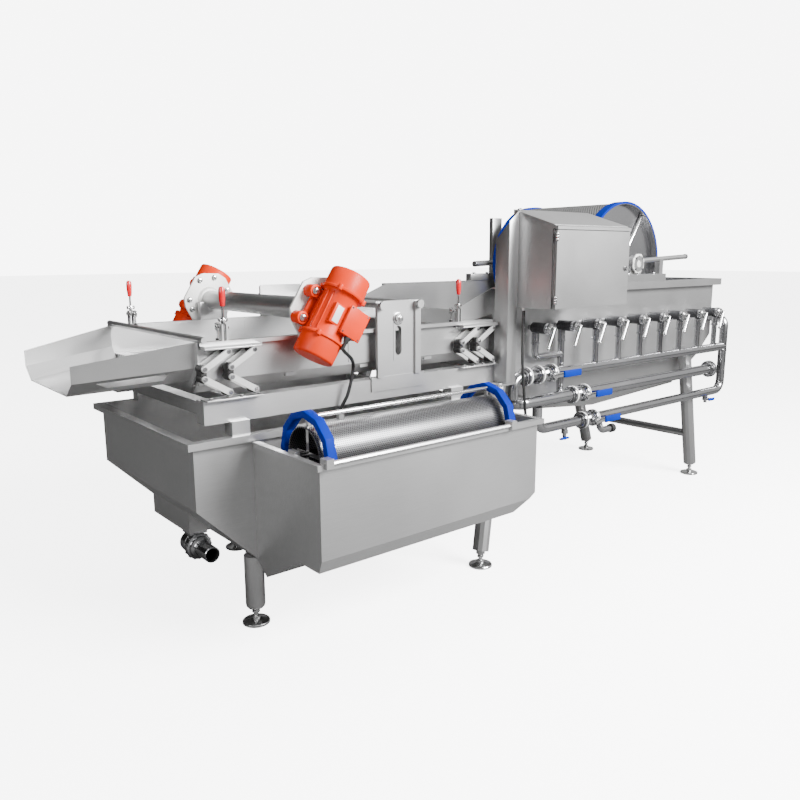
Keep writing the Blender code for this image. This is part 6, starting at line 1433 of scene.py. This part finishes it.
# A black strip round the door's left, right and top edges: painted shade in the door's gap.
for x_low, x_high, z_low in (
    (low.x - GAP_SHADE, low.x - SEAM, low.z),
    (high.x + SEAM, high.x + GAP_SHADE, low.z),
    (low.x - SEAM, high.x + SEAM, high.z + SEAM),
):
    front = (x_low, high.y - 0.0035, z_low)
    add_block(gap_shade, front, (x_high, high.y + 0.0002, high.z + GAP_SHADE))
show("cabinet_door_gap_shade", gap_shade, black_rubber_and_shade)
x = box_of("cabinet")[1].x - 0.51
add_rod(bolt, (x, -0.524, 1.594), (x, -0.521, 1.603), 0.011, 6, soft=0.001)
show("cabinet_roof_bolt", bolt, dark_steel_and_shade)
print("cabinet dressed")

# %% [markdown]
# ## Gate fittings
# A plate behind each slot of the gate makes the wide slot narrow. Its outline and its slot are
# two loops of edges, and filling between them is simpler than cutting one out of the other. A
# washer, a nut and a thread's end above it set the height of the gate's sheet.

# %% Gate liners and knobs
SLOT_ENDS = ((1.1, 0), (1.012, 180))
SLOT_RADIUS = 0.0165
LINER = ((0.026, 1.126), (-0.026, 1.126), (-0.026, 0.974), (0.026, 0.974))
LINER_Y = 0.4635
LINER_THICK = 0.003
KNOB_Y = 0.4645
KNOB_Z = 1.146
KNOB = ((0.0065, 0.026, 32, 0.001), (0.011, 0.0165, 6, 0.0015), (0.0055, 0.009, 20, 0.001))
low, high = box_of("gate_bridge")
gate_x = (low.x + high.x) / 2


def slot_liner(sign):
    """A plate behind the gate's slot, with a narrow slot with round ends."""
    bm = bmesh.new()
    slot = []
    for centre, first in SLOT_ENDS:
        for k in range(9):
            angle = math.radians(first + 22.5 * k)
            slot.append((SLOT_RADIUS * math.cos(angle), centre + SLOT_RADIUS * math.sin(angle)))
    loops = []
    for outline in (LINER, slot):
        verts = [bm.verts.new((gate_x + dx, sign * LINER_Y, z)) for dx, z in outline]
        loops += [bm.edges.new(pair) for pair in zip(verts, verts[1:] + verts[:1])]
    filled = bmesh.ops.triangle_fill(bm, use_beauty=True, edges=loops)["geom"]
    faces = [item for item in filled if isinstance(item, bmesh.types.BMFace)]
    add_plate(bm, faces, sign * LINER_THICK)
    return bm


for sign, side in SIDES:
    show("gate_liner_" + side, slot_liner(sign), sheet_steel)
for sign, side in SIDES:
    knob = bmesh.new()
    add_stack(knob, gate_x, KNOB_Z, sign * KNOB_Y, sign, KNOB)
    show("gate_knob_" + side, knob, bright_steel)
print("gate dressed")

# %% [markdown]
# ## Floor
# The photograph has a plain white ground. A white floor would throw so much light up that the
# steel lost its darks, so the floor glows white to the camera and is dark grey to every other ray.

# %% Floor
FLOOR_GLOW = 5
FLOOR_GREY = (0.14, 0.14, 0.14)
floor_mesh = bpy.data.meshes.new("floor")
bm = bmesh.new()
bmesh.ops.create_grid(bm, x_segments=1, y_segments=1, size=60)
bm.to_mesh(floor_mesh)
bm.free()
floor = bpy.data.objects.new("floor", floor_mesh)
bpy.context.scene.collection.objects.link(floor)
floor_paint, tree, shader, coords = new_finish("floor_paint")
pattern = ranged(tree, noise_layer(tree, coords, 3), 0, 1)
seen = add_node(tree, "LightPath", {}).outputs["Is Camera Ray"]
pale = mixed_colour(tree, pattern, (0.94, 0.94, 0.94), (0.95, 0.95, 0.95))
fill(tree, shader, {
    "Base Color": mixed_colour(tree, seen, FLOOR_GREY, pale),
    "Emission Strength": ranged(tree, seen, 0, FLOOR_GLOW, 0, 1),
    "Emission Color": (1, 1, 1),
    "Roughness": 0.8,
    "Specular IOR Level": 0,
})
floor_mesh.materials.append(floor_paint)
floor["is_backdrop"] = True
print("floor laid")

# %% [markdown]
# ## Light
# Polished steel shows what stands round it. An even white world would leave it flat, so the
# world is white to the camera alone, and to the steel it fades from a bright side behind the
# camera's right shoulder to black. A broad key light stands on that side, and weak ones at the
# left and above keep the ends and the top readable.

# %% Light
WORLD_SEEN = 7.5
BRIGHT_SIDE = (0.66, -0.6, 0.45)
world = bpy.data.worlds.new("studio")
bpy.context.scene.world = world
world.use_nodes = True
tree = world.node_tree
direction = add_node(tree, "TexCoord", {}).outputs["Generated"]
facing = add_node(tree, "VectorMath", {0: direction, 1: BRIGHT_SIDE})
facing.operation = "DOT_PRODUCT"
glow = ranged(tree, facing.outputs["Value"], 0.02, 0.75, -0.3, 0.85)
seen = add_node(tree, "LightPath", {}).outputs["Is Camera Ray"]
white = math_node(tree, "MULTIPLY", seen, WORLD_SEEN)
lit = math_node(tree, "MULTIPLY", math_node(tree, "SUBTRACT", 1, seen), glow)
strength = math_node(tree, "ADD", white, lit)
fill(tree, tree.nodes["Background"], {"Color": (1, 1, 1), "Strength": strength})


def soft_box(name, place, target, size, power):
    """A rectangular area light that faces a point."""
    data = bpy.data.lights.new(name, "AREA")
    data.shape = "RECTANGLE"
    data.size, data.size_y = size
    data.energy = power
    lamp = bpy.data.objects.new(name, data)
    bpy.context.scene.collection.objects.link(lamp)
    aim = Vector(target) - Vector(place)
    lamp.rotation_mode = "QUATERNION"
    lamp.rotation_quaternion = aim.to_track_quat("-Z", "Y")
    lamp.location = ORIGIN + Vector(place)


soft_box("key", (3.4, -5.2, 3.9), (2.0, 0, 0.8), (3.2, 2.4), 1650)
soft_box("left", (-4.2, -1.6, 2.6), (0.6, 0, 0.7), (3, 2), 190)
soft_box("top", (1.8, 0.6, 5.4), (1.8, 0, 0.5), (5, 3), 90)
print("lights placed")

# %% [markdown]
# ## Dressed size
# The growth of the dressed machine's box over the solids' box is printed, with the number of
# pieces made.

# %% Finish
low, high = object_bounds()
growth = [round(v, 4) for v in (high - low) - (cad_high - cad_low)]
print(len(made_pieces), "pieces made; the box grew by", growth)
